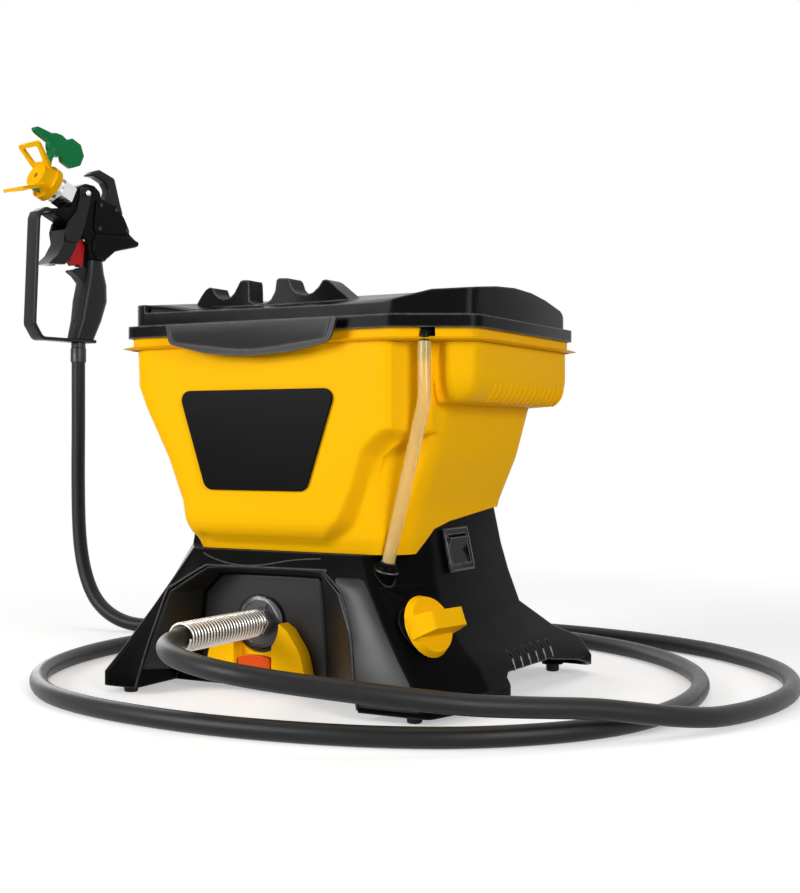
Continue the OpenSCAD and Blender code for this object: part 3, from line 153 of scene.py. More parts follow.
studio = {
    # place and target from the sprayer's middle, size, power
    "lamps": {
        "keyLamp": ((-1.0, -1.85, 0.80), (0, 0, 0.2), (0.9, 0.9), 33.0),
        "fillLamp": ((1.75, -1.0, 0.75), (0, 0, 0.2), (0.7, 0.9), 21.0),
        "topLamp": ((0.1, 0.3, 1.7), (0, 0, 0.2), (1.6, 1.2), 6.0),
        "rimLamp": ((-1.5, 0.9, 0.7), (0, 0, 0.25), (0.6, 1.4), 7.0),
    },
    "world": 0.21,                        # for light that falls; plain white where it is seen or mirrored
    "floorHalf": 12.0,
    "floorColour": (0.80, 0.80, 0.80),
    "floorGlow": 0.42,
    "fadeFrom": 0.55, "fadeTo": 1.15,     # the floor turns plain white this far out
}


# A flat square; its light is what falls on it plus a plain glow that only the eye sees.
def addFloor():
    half = studio["floorHalf"]
    mesh = bpy.data.meshes.new("floor")
    mesh.from_pydata([(-half, -half, 0), (half, -half, 0), (half, half, 0), (-half, half, 0)], [],
                     [(0, 1, 2, 3)])
    floor = bpy.data.objects.new("floor", mesh)
    bpy.context.scene.collection.objects.link(floor)
    material, tree = newMaterial("floorPaint")
    distance = addNode(tree, "ShaderNodeVectorMath", {"operation": "LENGTH"}, Vector=objectCoords(tree))
    far = addNode(tree, "ShaderNodeMapRange", {"interpolation_type": "SMOOTHSTEP"},
                  Value=distance.outputs["Value"], From_Min=studio["fadeFrom"], From_Max=studio["fadeTo"])
    seen = seenRays(tree)
    near = addNode(tree, "ShaderNodeBsdfDiffuse", Color=rgba(studio["floorColour"]))
    glow = addNode(tree, "ShaderNodeEmission",
                   Strength=mathNode(tree, "MULTIPLY", seen, studio["floorGlow"]))
    lit = fillNode(tree, "ShaderNodeAddShader", near.outputs[0], glow.outputs[0])
    plain = addNode(tree, "ShaderNodeEmission", Strength=seen)
    finishMaterial(tree, fillNode(tree, "ShaderNodeMixShader", far.outputs["Result"], lit.outputs[0],
                                  plain.outputs[0]))
    mesh.materials.append(material)


def addLamp(name, place, target, size, power):
    data = bpy.data.lights.new(name, "AREA")
    data.shape = "RECTANGLE"
    data.size, data.size_y = size
    data.energy = power
    lamp = bpy.data.objects.new(name, data)
    lamp.location = np.add(layout["sprayer"], place)
    way = np.subtract(target, place)
    flat = math.hypot(way[0], way[1])
    lamp.rotation_euler = (math.pi / 2 + math.atan2(way[2], flat), 0, math.atan2(-way[0], way[1]))
    bpy.context.scene.collection.objects.link(lamp)


def addLight():
    for name, values in studio["lamps"].items():
        addLamp(name, *values)
    world = bpy.data.worlds.new("studio")
    bpy.context.scene.world = world
    world.use_nodes = True
    tree = world.node_tree
    tree.nodes.clear()
    strength = addNode(tree, "ShaderNodeMapRange", Value=seenRays(tree), To_Min=studio["world"], To_Max=1.0)
    back = addNode(tree, "ShaderNodeBackground", Color=(1, 1, 1, 1), Strength=strength.outputs["Result"])
    addNode(tree, "ShaderNodeOutputWorld", Surface=back.outputs[0])


addCamera()
addFloor()
addLight()
bpy.context.scene.view_settings.view_transform = "Standard"
print("stage: camera, floor and light")

# how strong and how fine each pattern in the shared effects is
effects = {
    "cells": 0.7, "cellSoftness": 0.6, "fine": 0.5, "fineScale": 0.6, "fineDetail": 2.0,
    "toneDetail": 3.0,
    "edgeFlat": 0.995, "edgeTurned": 0.9, "edgeSamples": 4, "breakScale": 180.0, "breakDetail": 4.0,
    "breakShare": 1.4,
}


def newGroup(name, inputs, outputs):
    tree = bpy.data.node_groups.new(name, "ShaderNodeTree")
    for label, kind, value in inputs:
        socket = tree.interface.new_socket(label, in_out="INPUT", socket_type="NodeSocket" + kind)
        if value is not None:
            socket.default_value = value
    for label, kind in outputs:
        tree.interface.new_socket(label, in_out="OUTPUT", socket_type="NodeSocket" + kind)
    return tree, tree.nodes.new("NodeGroupInput").outputs, tree.nodes.new("NodeGroupOutput").inputs


# Moulded grain: rounded cells of a Voronoi pattern, with a finer noise between them.
def makeGrain():
    tree, given, result = newGroup(
        "mouldedGrain", [("Coords", "Vector", None), ("Size", "Float", 0.0006)], [("Height", "Float")])
    scale = mathNode(tree, "DIVIDE", 1.0, given["Size"])
    cells = addNode(tree, "ShaderNodeTexVoronoi", {"feature": "SMOOTH_F1"},
                    Vector=given["Coords"], Scale=scale, Smoothness=effects["cellSoftness"])
    fine = addNode(tree, "ShaderNodeTexNoise", Vector=given["Coords"],
                   Scale=mathNode(tree, "MULTIPLY", scale, effects["fineScale"]),
                   Detail=effects["fineDetail"])
    height = mathNode(tree, "ADD", mathNode(tree, "MULTIPLY", cells.outputs["Distance"], effects["cells"]),
                      mathNode(tree, "MULTIPLY", fine.outputs["Fac"], effects["fine"]))
    tree.links.new(height, result["Height"])
    return tree


# Tone: slow noise that lightens and darkens a colour and moves its roughness a little.
def makeTone():
    tree, given, result = newGroup(
        "slowTone",
        [("Coords", "Vector", None), ("Colour", "Color", (0.5, 0.5, 0.5, 1)), ("Spread", "Float", 0.06),
         ("Roughness", "Float", 0.4), ("Size", "Float", 0.05)],
        [("Colour", "Color"), ("Roughness", "Float")])
    noise = addNode(tree, "ShaderNodeTexNoise", Vector=given["Coords"],
                    Scale=mathNode(tree, "DIVIDE", 1.0, given["Size"]), Detail=effects["toneDetail"])
    shift = mathNode(tree, "MULTIPLY", mathNode(tree, "SUBTRACT", noise.outputs["Fac"], 0.5),
                     mathNode(tree, "MULTIPLY", given["Spread"], 2.0))
    toned = addNode(tree, "ShaderNodeHueSaturation", Color=given["Colour"],
                    Value=mathNode(tree, "ADD", shift, 1.0))
    tree.links.new(toned.outputs["Color"], result["Colour"])
    tree.links.new(mathNode(tree, "ADD", given["Roughness"], shift, clamp=True), result["Roughness"])
    return tree


# Painted edge highlight: a mask of how far a rounded normal turns from the surface's own, broken up by
# noise.
def makeEdge():
    tree, given, result = newGroup(
        "edgeHighlight", [("Coords", "Vector", None), ("Reach", "Float", 0.0009)], [("Mask", "Float")])
    bevel = addNode(tree, "ShaderNodeBevel", {"samples": effects["edgeSamples"]}, Radius=given["Reach"])
    own = addNode(tree, "ShaderNodeNewGeometry").outputs["Normal"]
    dot = fillNode(tree, "ShaderNodeVectorMath", bevel.outputs[0], own, operation="DOT_PRODUCT")
    noise = addNode(tree, "ShaderNodeTexNoise", Vector=given["Coords"], Scale=effects["breakScale"],
                    Detail=effects["breakDetail"])
    turned = addNode(tree, "ShaderNodeMapRange", Value=dot.outputs["Value"], From_Min=effects["edgeFlat"],
                     From_Max=effects["edgeTurned"])
    broken = mathNode(tree, "MULTIPLY", noise.outputs["Fac"], effects["breakShare"], clamp=True)
    tree.links.new(mathNode(tree, "MULTIPLY", turned.outputs["Result"], broken), result["Mask"])
    return tree


groups = {"grain": makeGrain(), "tone": makeTone(), "edge": makeEdge()}


def placeGroup(tree, name, **values):
    return addNode(tree, "ShaderNodeGroup", {"node_tree": groups[name]}, **values)


def placeTone(tree, coords, look):
    return placeGroup(tree, "tone", Coords=coords, Colour=rgba(look["colour"]), Spread=look["spread"],
                      Roughness=look["roughness"], Size=look["toneSize"]).outputs


# Moulded plastic: toned colour, a painted highlight in a lighter colour along the edges, grain as a small
# bump.
def makePlastic(name, look):
    look = plainPlastic | look
    material, tree = newMaterial(name)
    coords = objectCoords(tree)
    tone = placeTone(tree, coords, look)
    edge = placeGroup(tree, "edge", Coords=coords, Reach=look["reach"])
    # painted edge highlight: the lighter colour is mixed in where the mask finds a rounded edge
    highlighted = mathNode(tree, "MULTIPLY", edge.outputs["Mask"], look["highlightShare"])
    colour = mixColours(tree, highlighted, tone["Colour"], rgba(look["highlightColour"]))
    grain = placeGroup(tree, "grain", Coords=coords, Size=look["grain"])
    bump = addNode(tree, "ShaderNodeBump", Strength=look["bump"], Distance=look["grain"] * look["depth"],
                   Height=grain.outputs["Height"])
    finishMaterial(tree, addNode(
        tree, "ShaderNodeBsdfPrincipled", Base_Color=colour, Roughness=tone["Roughness"],
        Normal=bump.outputs["Normal"], IOR=look["bend"], Specular_IOR_Level=look["specular"]))
    return material


# Metal: fine noise as bump and as a change of the roughness, over a slow tone.
def makeMetal(name, look):
    look = plainMetal | look
    material, tree = newMaterial(name)
    coords = objectCoords(tree)
    noise = addNode(tree, "ShaderNodeTexNoise", Vector=coords, Scale=look["grain"], Detail=look["detail"])
    tone = placeTone(tree, coords, look)
    swing = mathNode(tree, "SUBTRACT", noise.outputs["Fac"], 0.5)
    change = mathNode(tree, "MULTIPLY", swing, look["change"])
    bump = addNode(tree, "ShaderNodeBump", Strength=look["bump"], Distance=look["depth"],
                   Height=noise.outputs["Fac"])
    finishMaterial(tree, addNode(
        tree, "ShaderNodeBsdfPrincipled", Base_Color=tone["Colour"],
        Roughness=mathNode(tree, "ADD", tone["Roughness"], change, clamp=True),
        Normal=bump.outputs["Normal"], Metallic=1.0))
    return material


# Clear tube: yellowed, slightly cloudy plastic.
def makeClear(name, look):
    material, tree = newMaterial(name)
    tone = placeTone(tree, objectCoords(tree), look)
    finishMaterial(tree, addNode(
        tree, "ShaderNodeBsdfPrincipled", Base_Color=tone["Colour"], Roughness=tone["Roughness"],
        Transmission_Weight=look["clear"], IOR=look["bend"]))
    return material


# What a plastic or a metal has unless its own entry says otherwise. A plastic's grain, tone and reach are
# sizes in metres and its depth is a share of the grain; a metal's grain is how fine its noise is.
plainPlastic = dict(spread=0.10, toneSize=0.05, grain=0.0005, bump=0.1, depth=0.4, highlightShare=0.3, reach=0.0009,
                    specular=0.4, bend=1.5)
plainMetal = dict(spread=0.06, toneSize=0.02, detail=5.0, change=0.25, bump=0.1, depth=0.0002)
# each entry's edge colour, mixed in by its share, is a painted highlight along the edges
plastics = {
    "blackMoulding": dict(colour=(0.0030, 0.0030, 0.0033), roughness=0.30, grain=0.0007, bump=0.30, highlightShare=0.9,
                          highlightColour=(0.11, 0.107, 0.103), specular=0.015, reach=0.0022),
    "frontMoulding": dict(colour=(0.0050, 0.0048, 0.0047), roughness=0.38, grain=0.0007, bump=0.22, highlightShare=0.8,
                          highlightColour=(0.085, 0.083, 0.080), specular=0.32),
    # painted light: the light grey of the bars in the vent slots
    "ventLightGrey": dict(colour=(0.34, 0.34, 0.34), roughness=0.45, spread=0.05, highlightShare=0.4,
                     highlightColour=(0.5, 0.5, 0.5)),
    "lidMoulding": dict(colour=(0.0040, 0.0040, 0.0044), roughness=0.26, grain=0.0006, bump=0.16, highlightShare=1.0,
                        highlightColour=(0.19, 0.185, 0.18), specular=0.045, reach=0.0022),
    "latchMoulding": dict(colour=(0.019, 0.0175, 0.0175), roughness=0.30, grain=0.0006, bump=0.2, highlightShare=0.7,
                          highlightColour=(0.13, 0.127, 0.122), specular=0.13, reach=0.0022),
    "yellowMoulding": dict(colour=(0.96, 0.50, 0.003), roughness=0.34, spread=0.025, grain=0.0008,
                           bump=0.14, highlightColour=(1.0, 0.68, 0.06), specular=0.012),
    "gunMoulding": dict(colour=(0.006, 0.006, 0.0062), roughness=0.34, bump=0.18, highlightShare=0.5,
                        highlightColour=(0.05, 0.05, 0.05), specular=0.05),
    "gripMoulding": dict(colour=(0.007, 0.007, 0.0072), roughness=0.34, bump=0.18, highlightShare=0.6,
                         highlightColour=(0.07, 0.07, 0.07), specular=0.22),
    "plateGloss": dict(colour=(0.0032, 0.0032, 0.0036), roughness=0.28, spread=0.05, grain=0.0004,
                       bump=0.06, highlightShare=0.4, highlightColour=(0.03, 0.03, 0.03), specular=0.04),
    "switchGloss": dict(colour=(0.005, 0.005, 0.0052), roughness=0.18, spread=0.05, grain=0.0004, bump=0.06,
                        highlightShare=1.0, highlightColour=(0.34, 0.34, 0.34), specular=0.06, reach=0.0013),
    "blackRubber": dict(colour=(0.006, 0.006, 0.006), roughness=0.6, bump=0.4, highlightShare=0.4,
                        highlightColour=(0.04, 0.04, 0.04), specular=0.3),
    "redGloss": dict(colour=(0.58, 0.013, 0.016), roughness=0.26, spread=0.04, highlightColour=(0.8, 0.12, 0.1),
                     specular=0.15),
    "greenGloss": dict(colour=(0.002, 0.215, 0.058), roughness=0.28, spread=0.04, bump=0.12,
                       highlightColour=(0.1, 0.5, 0.25), specular=0.14),
    "orangeGloss": dict(colour=(0.70, 0.075, 0.006), roughness=0.28, spread=0.04,
                        highlightColour=(0.9, 0.25, 0.08), specular=0.15),
    "whitePlain": dict(colour=(0.66, 0.63, 0.56), roughness=0.5, spread=0.05, bump=0.15,
                       highlightColour=(0.8, 0.8, 0.75)),
    "boardGreen": dict(colour=(0.02, 0.16, 0.07), roughness=0.35, grain=0.0009, bump=0.3, highlightShare=0.2,
                       highlightColour=(0.4, 0.35, 0.2)),
}
metals = {
    "brightPlate": dict(colour=(0.72, 0.72, 0.73), roughness=0.2, spread=0.05, grain=300.0, bump=0.06),
    "flangeSteel": dict(colour=(0.07, 0.069, 0.071), roughness=0.34, spread=0.08, grain=260.0, bump=0.12),
    "zincSteel": dict(colour=(0.52, 0.53, 0.54), roughness=0.36, spread=0.07, grain=220.0, bump=0.12),
    "springWire": dict(colour=(0.66, 0.63, 0.58), roughness=0.3, grain=500.0),
    "castMetal": dict(colour=(0.42, 0.43, 0.45), roughness=0.5, spread=0.08, grain=600.0, bump=0.4),
    "motorPaint": dict(colour=(0.28, 0.29, 0.31), roughness=0.4, grain=200.0),
    "blackSteel": dict(colour=(0.045, 0.045, 0.048), roughness=0.35, grain=260.0),
}
clearTube = dict(colour=(0.98, 0.80, 0.34), spread=0.05, toneSize=0.01, roughness=0.13, clear=0.7, bend=1.4)
materials = {name: makePlastic(name, look) for name, look in plastics.items()}
materials.update({name: makeMetal(name, look) for name, look in metals.items()})
materials["clearTube"] = makeClear("clearTube", clearTube)

slotMaterial = {
    "black_moulding": "blackMoulding", "lid_moulding": "lidMoulding", "latch_moulding": "latchMoulding",
    "yellow_moulding": "yellowMoulding", "gun_moulding": "gunMoulding", "plate": "plateGloss",
    "switch_plastic": "switchGloss", "rubber": "blackRubber", "hose_cover": "blackRubber",
    "ferrule": "blackSteel", "plated_steel": "brightPlate", "spring_steel": "springWire",
    "zinc_steel": "zincSteel", "motor_steel": "motorPaint", "cast_housing": "castMetal",
    "inner_plastic": "switchGloss", "board": "boardGreen", "strainer_steel": "zincSteel",
    "white_plastic": "whitePlain", "clear_tube": "clearTube", "red_plastic": "redGloss",
    "green_plastic": "greenGloss", "orange_plastic": "orangeGloss",
}
print("stage: materials")


def setMaterial(piece, name):
    piece.data.materials.clear()
    piece.data.materials.append(materials[name])


# The piece moves with the node's body, takes its slot and wears the material.
def rideOn(piece, node, material):
    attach(piece, bodyOf[node])
    setMaterial(piece, material)
    return piece


# The piece also takes the node's place, so the node is hidden.
def standFor(piece, node, material):
    rideOn(piece, node, material)
    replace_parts(piece, node)
    return piece


def addPiece(name, points, faces):
    mesh = bpy.data.meshes.new(name)
    mesh.from_pydata(np.asarray(points, float).reshape(-1, 3), [], faces)
    mesh.shade_smooth()
    mesh.update()
    piece = bpy.data.objects.new(name, mesh)
    bpy.context.scene.collection.objects.link(piece)
    return piece


# Gives a sheet its thickness, on the side away from its front.
def addWall(piece, thickness):
    wall = piece.modifiers.new("wall", "SOLIDIFY")
    wall.thickness = thickness
    wall.offset = -1


def markSharp(piece, degrees):
    piece.data.set_sharp_from_angle(angle=math.radians(degrees))


# Quads between neighbouring rows of points; a closed row joins its last point to its first.
def gridFaces(rows, columns, closedRow=True, closedColumn=False):
    across = np.arange(columns if closedRow else columns - 1)
    down = np.arange(rows if closedColumn else rows - 1)
    i, j = np.meshgrid(down, across, indexing="ij")
    nextJ, nextI = (j + 1) % columns, (i + 1) % rows
    here, below = i * columns, nextI * columns
    quads = np.stack([here + j, here + nextJ, below + nextJ, below + j], -1)
    return quads.reshape(-1, 4).tolist()


# Closes a tube's two ends with one face each.
def fillEnds(faces, rows, columns):
    faces.append(list(range(columns))[::-1])
    faces.append(list(range((rows - 1) * columns, rows * columns)))
    return faces


def turnedOver(faces):
    return [face[::-1] for face in faces]


def unit(vectors):
    return vectors / np.linalg.norm(vectors, axis=-1, keepdims=True)


# Angles once round, without the last, which would fall on the first.
def circle(count):
    return np.linspace(0, 2 * math.pi, count, endpoint=False)


# A column of a table at each place along its first column, on straight lines between the rows.
def readTable(table, place, column=1):
    rows = np.asarray(table, float)
    return np.interp(place, rows[:, 0], rows[:, column])


# Four point scheme: each new point is 9/16 of its neighbours less 1/16 of theirs.
def smoothLine(points, rounds):
    line = np.asarray(points, float)
    for _ in range(rounds):
        before = np.vstack([line[:1], line[:-2]])
        after = np.vstack([line[2:], line[-1:]])
        middle = (9 * (line[:-1] + line[1:]) - before - after) / 16
        grown = np.empty((len(line) * 2 - 1, 3))
        grown[::2], grown[1::2] = line, middle
        line = grown
    return line


# Two directions square to the line, carried along it without twist.
def carriedFrames(line, up):
    tangents = unit(np.gradient(line, axis=0))
    sides = np.empty_like(line)
    side = np.asarray(up, float)
    for i, t in enumerate(tangents):
        side = unit(side - side.dot(t) * t)
        sides[i] = side
    return sides, np.cross(tangents, sides)


# Circle of the radius about each point of the line, square to it.
def tubePoints(line, radius, sides, up=(0, 0, 1)):
    first, second = carriedFrames(line, up)
    turn = circle(sides)[:, None]
    return line[:, None] + radius * (np.cos(turn) * first[:, None] + np.sin(turn) * second[:, None])


def addTube(name, line, radius, sides, up=(0, 0, 1)):
    points = tubePoints(line, radius, sides, up)
    return addPiece(name, points, fillEnds(gridFaces(len(line), sides), len(line), sides))


# From the sprayer's middle to the scene, both in metres.
def onSprayer(points):
    return np.asarray(points, float) + layout["sprayer"]


hose = {
    "radius": 0.00775,
    "lay": 0.00795,
    "sides": 24,
    "rounds": 3,
    # from the outlet, millimetres from the sprayer's middle; z None lies on the floor
    "route": [
        (-30, -117.6, 62), (-30, -161, 62), (-30, -202, 62), (-21, -233, 61.5), (-1, -258, 60),
        (31, -276, 57.5), (81, -282, 53), (150, -255, 44), (222, -207, 33), (286, -138, 24.7),
        (345, -57, 10.5), (369, 71, None), (334, 190, None), (246, 278, None), (129, 324, None),
        (4, 333, None), (-115, 300, None), (-214, 226, None), (-274, 118, None), (-284, -6, None),
        (-246, -125, None), (-158, -212, None), (-38, -245, None), (88, -241, None), (206, -200, None),
        (288, -108, None), (306, 14, None), (274, 134, None), (196, 230, None), (84, 287, None),
        (-32, 297, 9.5), (-122, 280, 19), (-197, 245, 24.6), (-268, 203, 17.5), (-334, 165, 8.4),
        (-386, 150, 11.5), (-426, 148, 36), (-447, 149, 84), (-453, 150, 148), (-453, 150, 228),
        (-453, 150, 318)],
}
hoseRubber = dict(colour=(0.0115, 0.0115, 0.012), spread=0.09, toneSize=0.012, roughness=0.34, grain=0.0011,
                  bump=0.34, depth=0.0003, specular=0.22, strands=22)


# A circle carried along the smoothed route. The map's u goes once round the hose, and v is the length
# in turns of the same size.
def makeHose():
    lay, radius, sides = hose["lay"], hose["radius"], hose["sides"]
    route = np.array([(x, y, lay * 1000 if z is None else z) for x, y, z in hose["route"]]) / 1000
    line = smoothLine(onSprayer(route), hose["rounds"])
    line[:, 2] = np.maximum(line[:, 2], lay)
    piece = addTube("hoseCover", line, radius, sides)
    steps = np.linalg.norm(np.diff(line, axis=0), axis=1)
    v = np.concatenate([[0], np.cumsum(steps)]) / (2 * math.pi * radius)
    i, j = np.meshgrid(np.arange(len(line) - 1), np.arange(sides), indexing="ij")
    grid = np.stack([np.stack([j, j + 1, j + 1, j], -1) / sides,
                     np.stack([v[i], v[i], v[i + 1], v[i + 1]], -1)], -1)
    layer = piece.data.uv_layers.new(name="braid")
    layer.data.foreach_set("uv", np.concatenate([grid.reshape(-1, 2), np.zeros((2 * sides, 2))]).ravel())
    standFor(piece, "hose_tube", "hoseRubber")
    length = float(steps.sum())
    print("hose length", round(length, 4))
    return piece, line, length


# Rubber over a braid: two sets of strands, sin(n(u + v)) and sin(n(u - v)), show where they cross.
def makeHoseRubber(name, look):
    material, tree = newMaterial(name)
    coords = objectCoords(tree)
    tone = placeTone(tree, coords, look)
    around = addNode(tree, "ShaderNodeUVMap", {"uv_map": "braid"}).outputs["UV"]
    place = addNode(tree, "ShaderNodeSeparateXYZ", Vector=around).outputs
    strands = [mathNode(tree, "SINE", mathNode(
        tree, "MULTIPLY", mathNode(tree, way, place["X"], place["Y"]), 2 * math.pi * look["strands"]))
        for way in ("ADD", "SUBTRACT")]
    grain = placeGroup(tree, "grain", Coords=coords, Size=look["grain"])
    height = mathNode(tree, "ADD", mathNode(tree, "MULTIPLY", mathNode(tree, "MAXIMUM", *strands), 0.5),
                      mathNode(tree, "MULTIPLY", grain.outputs["Height"], 0.5))
    bump = addNode(tree, "ShaderNodeBump", Strength=look["bump"], Distance=look["depth"], Height=height)
    finishMaterial(tree, addNode(
        tree, "ShaderNodeBsdfPrincipled", Base_Color=tone["Colour"], Roughness=tone["Roughness"],
        Normal=bump.outputs["Normal"], Specular_IOR_Level=look["specular"]))
    return material


materials["hoseRubber"] = makeHoseRubber("hoseRubber", hoseRubber)
hosePiece, hoseLine, hoseLength = makeHose()

spring = {"outletX": -0.030, "outletZ": 0.062, "start": -0.1045, "pitch": 0.0039, "curls": 26,
          "radius": 0.0108, "wire": 0.0012, "steps": 32, "sides": 12}


# Helix: x and z go round a circle while y falls by one pitch a turn; the wire is a tube on it.
def makeSpring():
    turns = np.linspace(0, spring["curls"], spring["curls"] * spring["steps"] + 1)
    angle = 2 * math.pi * turns
    line = np.column_stack([
        spring["outletX"] + spring["radius"] * np.cos(angle),
        spring["start"] - 2 * spring["wire"] - spring["pitch"] * turns,
        spring["outletZ"] + spring["radius"] * np.sin(angle)])
    piece = addTube("springGuard", onSprayer(line), spring["wire"], spring["sides"], up=(0, 1, 0))
    return standFor(piece, "spring_guard", "springWire")


springPiece = makeSpring()

returnLine = {"socket": (0.100, -0.113, 0.112), "top": (0.138, -0.121), "bendZ": 0.246, "bendRadius": 0.040,
              "topZ": 0.2911, "radius": 0.00525, "wall": 0.0015, "sunk": 0.006,
              "sides": 28, "lowerRows": 12, "arcRows": 9, "upperRows": 7, "sharp": 50}


# A straight rise, one arc, an upright run; the wall is the same surface turned in by its thickness.
def makeReturnTube():
    radius, sides = returnLine["bendRadius"], returnLine["sides"]
    socket, knee = np.array(returnLine["socket"]), np.array([*returnLine["top"], returnLine["bendZ"]])
    rise = knee - socket
    flat = unit(rise[:2])
    bend = math.pi / 2 - math.atan2(rise[2], np.linalg.norm(rise[:2]))
    angle = bend * (np.linspace(0, 1, returnLine["arcRows"]) - 1)
    middle = np.array([*(knee[:2] - radius * flat), knee[2] + radius * math.tan(bend / 2)])
    arc = middle + radius * np.column_stack([
        np.cos(angle) * flat[0], np.cos(angle) * flat[1], np.sin(angle)])
    start = socket - returnLine["sunk"] * unit(rise)
    top = np.array([*returnLine["top"], returnLine["topZ"]])
    lower = start + np.linspace(0, 1, returnLine["lowerRows"], endpoint=False)[:, None] * (arc[0] - start)
    upper = arc[-1] + np.linspace(0, 1, returnLine["upperRows"])[1:, None] * (top - arc[-1])
    line = onSprayer(np.vstack([lower, arc, upper]))
    outer = tubePoints(line, returnLine["radius"], sides, up=(0, 1, 0))
    inner = tubePoints(line, returnLine["radius"] - returnLine["wall"], sides, up=(0, 1, 0))[::-1]
    both = np.concatenate([outer, inner])
    piece = addPiece("returnTube", both, gridFaces(len(both), sides, closedColumn=True))
    markSharp(piece, returnLine["sharp"])
    standFor(piece, "return_tube", "clearTube")


makeReturnTube()
print("stage: hose, spring guard and return tube")

# node: bevel in millimetres, steps, least angle that is rounded
roundings = {
    "base_shell": (1.2, 3, 28), "base_pan": (0.4, 1, 40), "rubber_feet": (0.5, 2, 40),
    "foot_screws": (0.3, 2, 40), "front_plate": (0.7, 3, 40), "hopper_strainer": (0.2, 1, 40),
    "inlet_seal": (0.3, 2, 40), "lid": (1.6, 3, 30), "lid_seal": (0.2, 1, 40),
    "hinge_pins": (0.3, 2, 40), "lid_latch": (0.8, 3, 40), "latch_pin": (0.2, 1, 40),
    "outlet_flange": (0.5, 2, 40), "outlet_nipple": (0.4, 2, 40), "pump_lock": (1.2, 3, 40),
    "valve_pusher": (0.8, 3, 40), "hose_nut": (0.4, 2, 40), "hose_ferrule": (0.2, 2, 40),
    "gun_ferrule": (0.4, 2, 40), "return_elbow": (0.3, 2, 40), "tube_socket": (0.4, 2, 40),
    "control_knob": (1.6, 3, 35), "switch_bezel": (0.5, 2, 40), "rocker_switch": (0.5, 2, 40),
    "cord_gland": (0.5, 2, 40), "gun_swivel": (0.4, 2, 40), "gun_grip": (1.0, 2, 40),
    "gun_screws": (0.2, 2, 40), "valve_barrel": (0.4, 2, 40), "head_nut": (0.6, 2, 40),
    "trigger": (0.9, 3, 30), "trigger_pin": (0.2, 2, 40), "trigger_lock": (1.2, 3, 30),
    "tip_guard": (0.9, 3, 35), "tip_seal": (0.3, 2, 40), "spray_tip": (1.2, 3, 35),
}
merging = {"distance": 4e-6, "flat": 0.8, "plane": 1e-7}      # metres, degrees, metres

# nodes whose finish isn't that of their slot
ownMaterial = {
    "outlet_flange": "flangeSteel", "gun_swivel": "blackSteel", "gun_screws": "blackSteel",
    "gun_grip": "gripMoulding", "hand_guard": "gripMoulding", "trigger": "gripMoulding",
    "rear_hook": "gripMoulding",
}


def finishOf(node):
    return ownMaterial.get(node, slotMaterial[slotOf[node]])


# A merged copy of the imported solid, above the cut, whose sharp edges get a rounding of the width.
def soften(name, width, steps, angle, cut=None, label=None):
    mesh = nodes[name].data.copy()
    mesh.name = label or name + "Form"
    work = bmesh.new()
    work.from_mesh(mesh)
    bmesh.ops.remove_doubles(work, verts=work.verts, dist=merging["distance"])
    bmesh.ops.dissolve_limit(work, angle_limit=math.radians(merging["flat"]), verts=work.verts,
                             edges=work.edges)
    if cut is not None:
        bmesh.ops.bisect_plane(work, geom=work.verts[:] + work.edges[:] + work.faces[:],
                               dist=merging["plane"], plane_co=(0, 0, cut), plane_no=(0, 0, 1),
                               clear_inner=True)
    work.to_mesh(mesh)
    work.free()
    mesh.shade_smooth()
    piece = bpy.data.objects.new(mesh.name, mesh)
    bpy.context.scene.collection.objects.link(piece)
    markSharp(piece, angle)
    bevel = piece.modifiers.new("rounding", "BEVEL")
    bevel.width = width / 1000
    bevel.segments = steps
    bevel.limit_method = "ANGLE"
    bevel.angle_limit = math.radians(angle)
    bevel.harden_normals = True
    bevel.use_clamp_overlap = True
    return standFor(piece, name, finishOf(name))


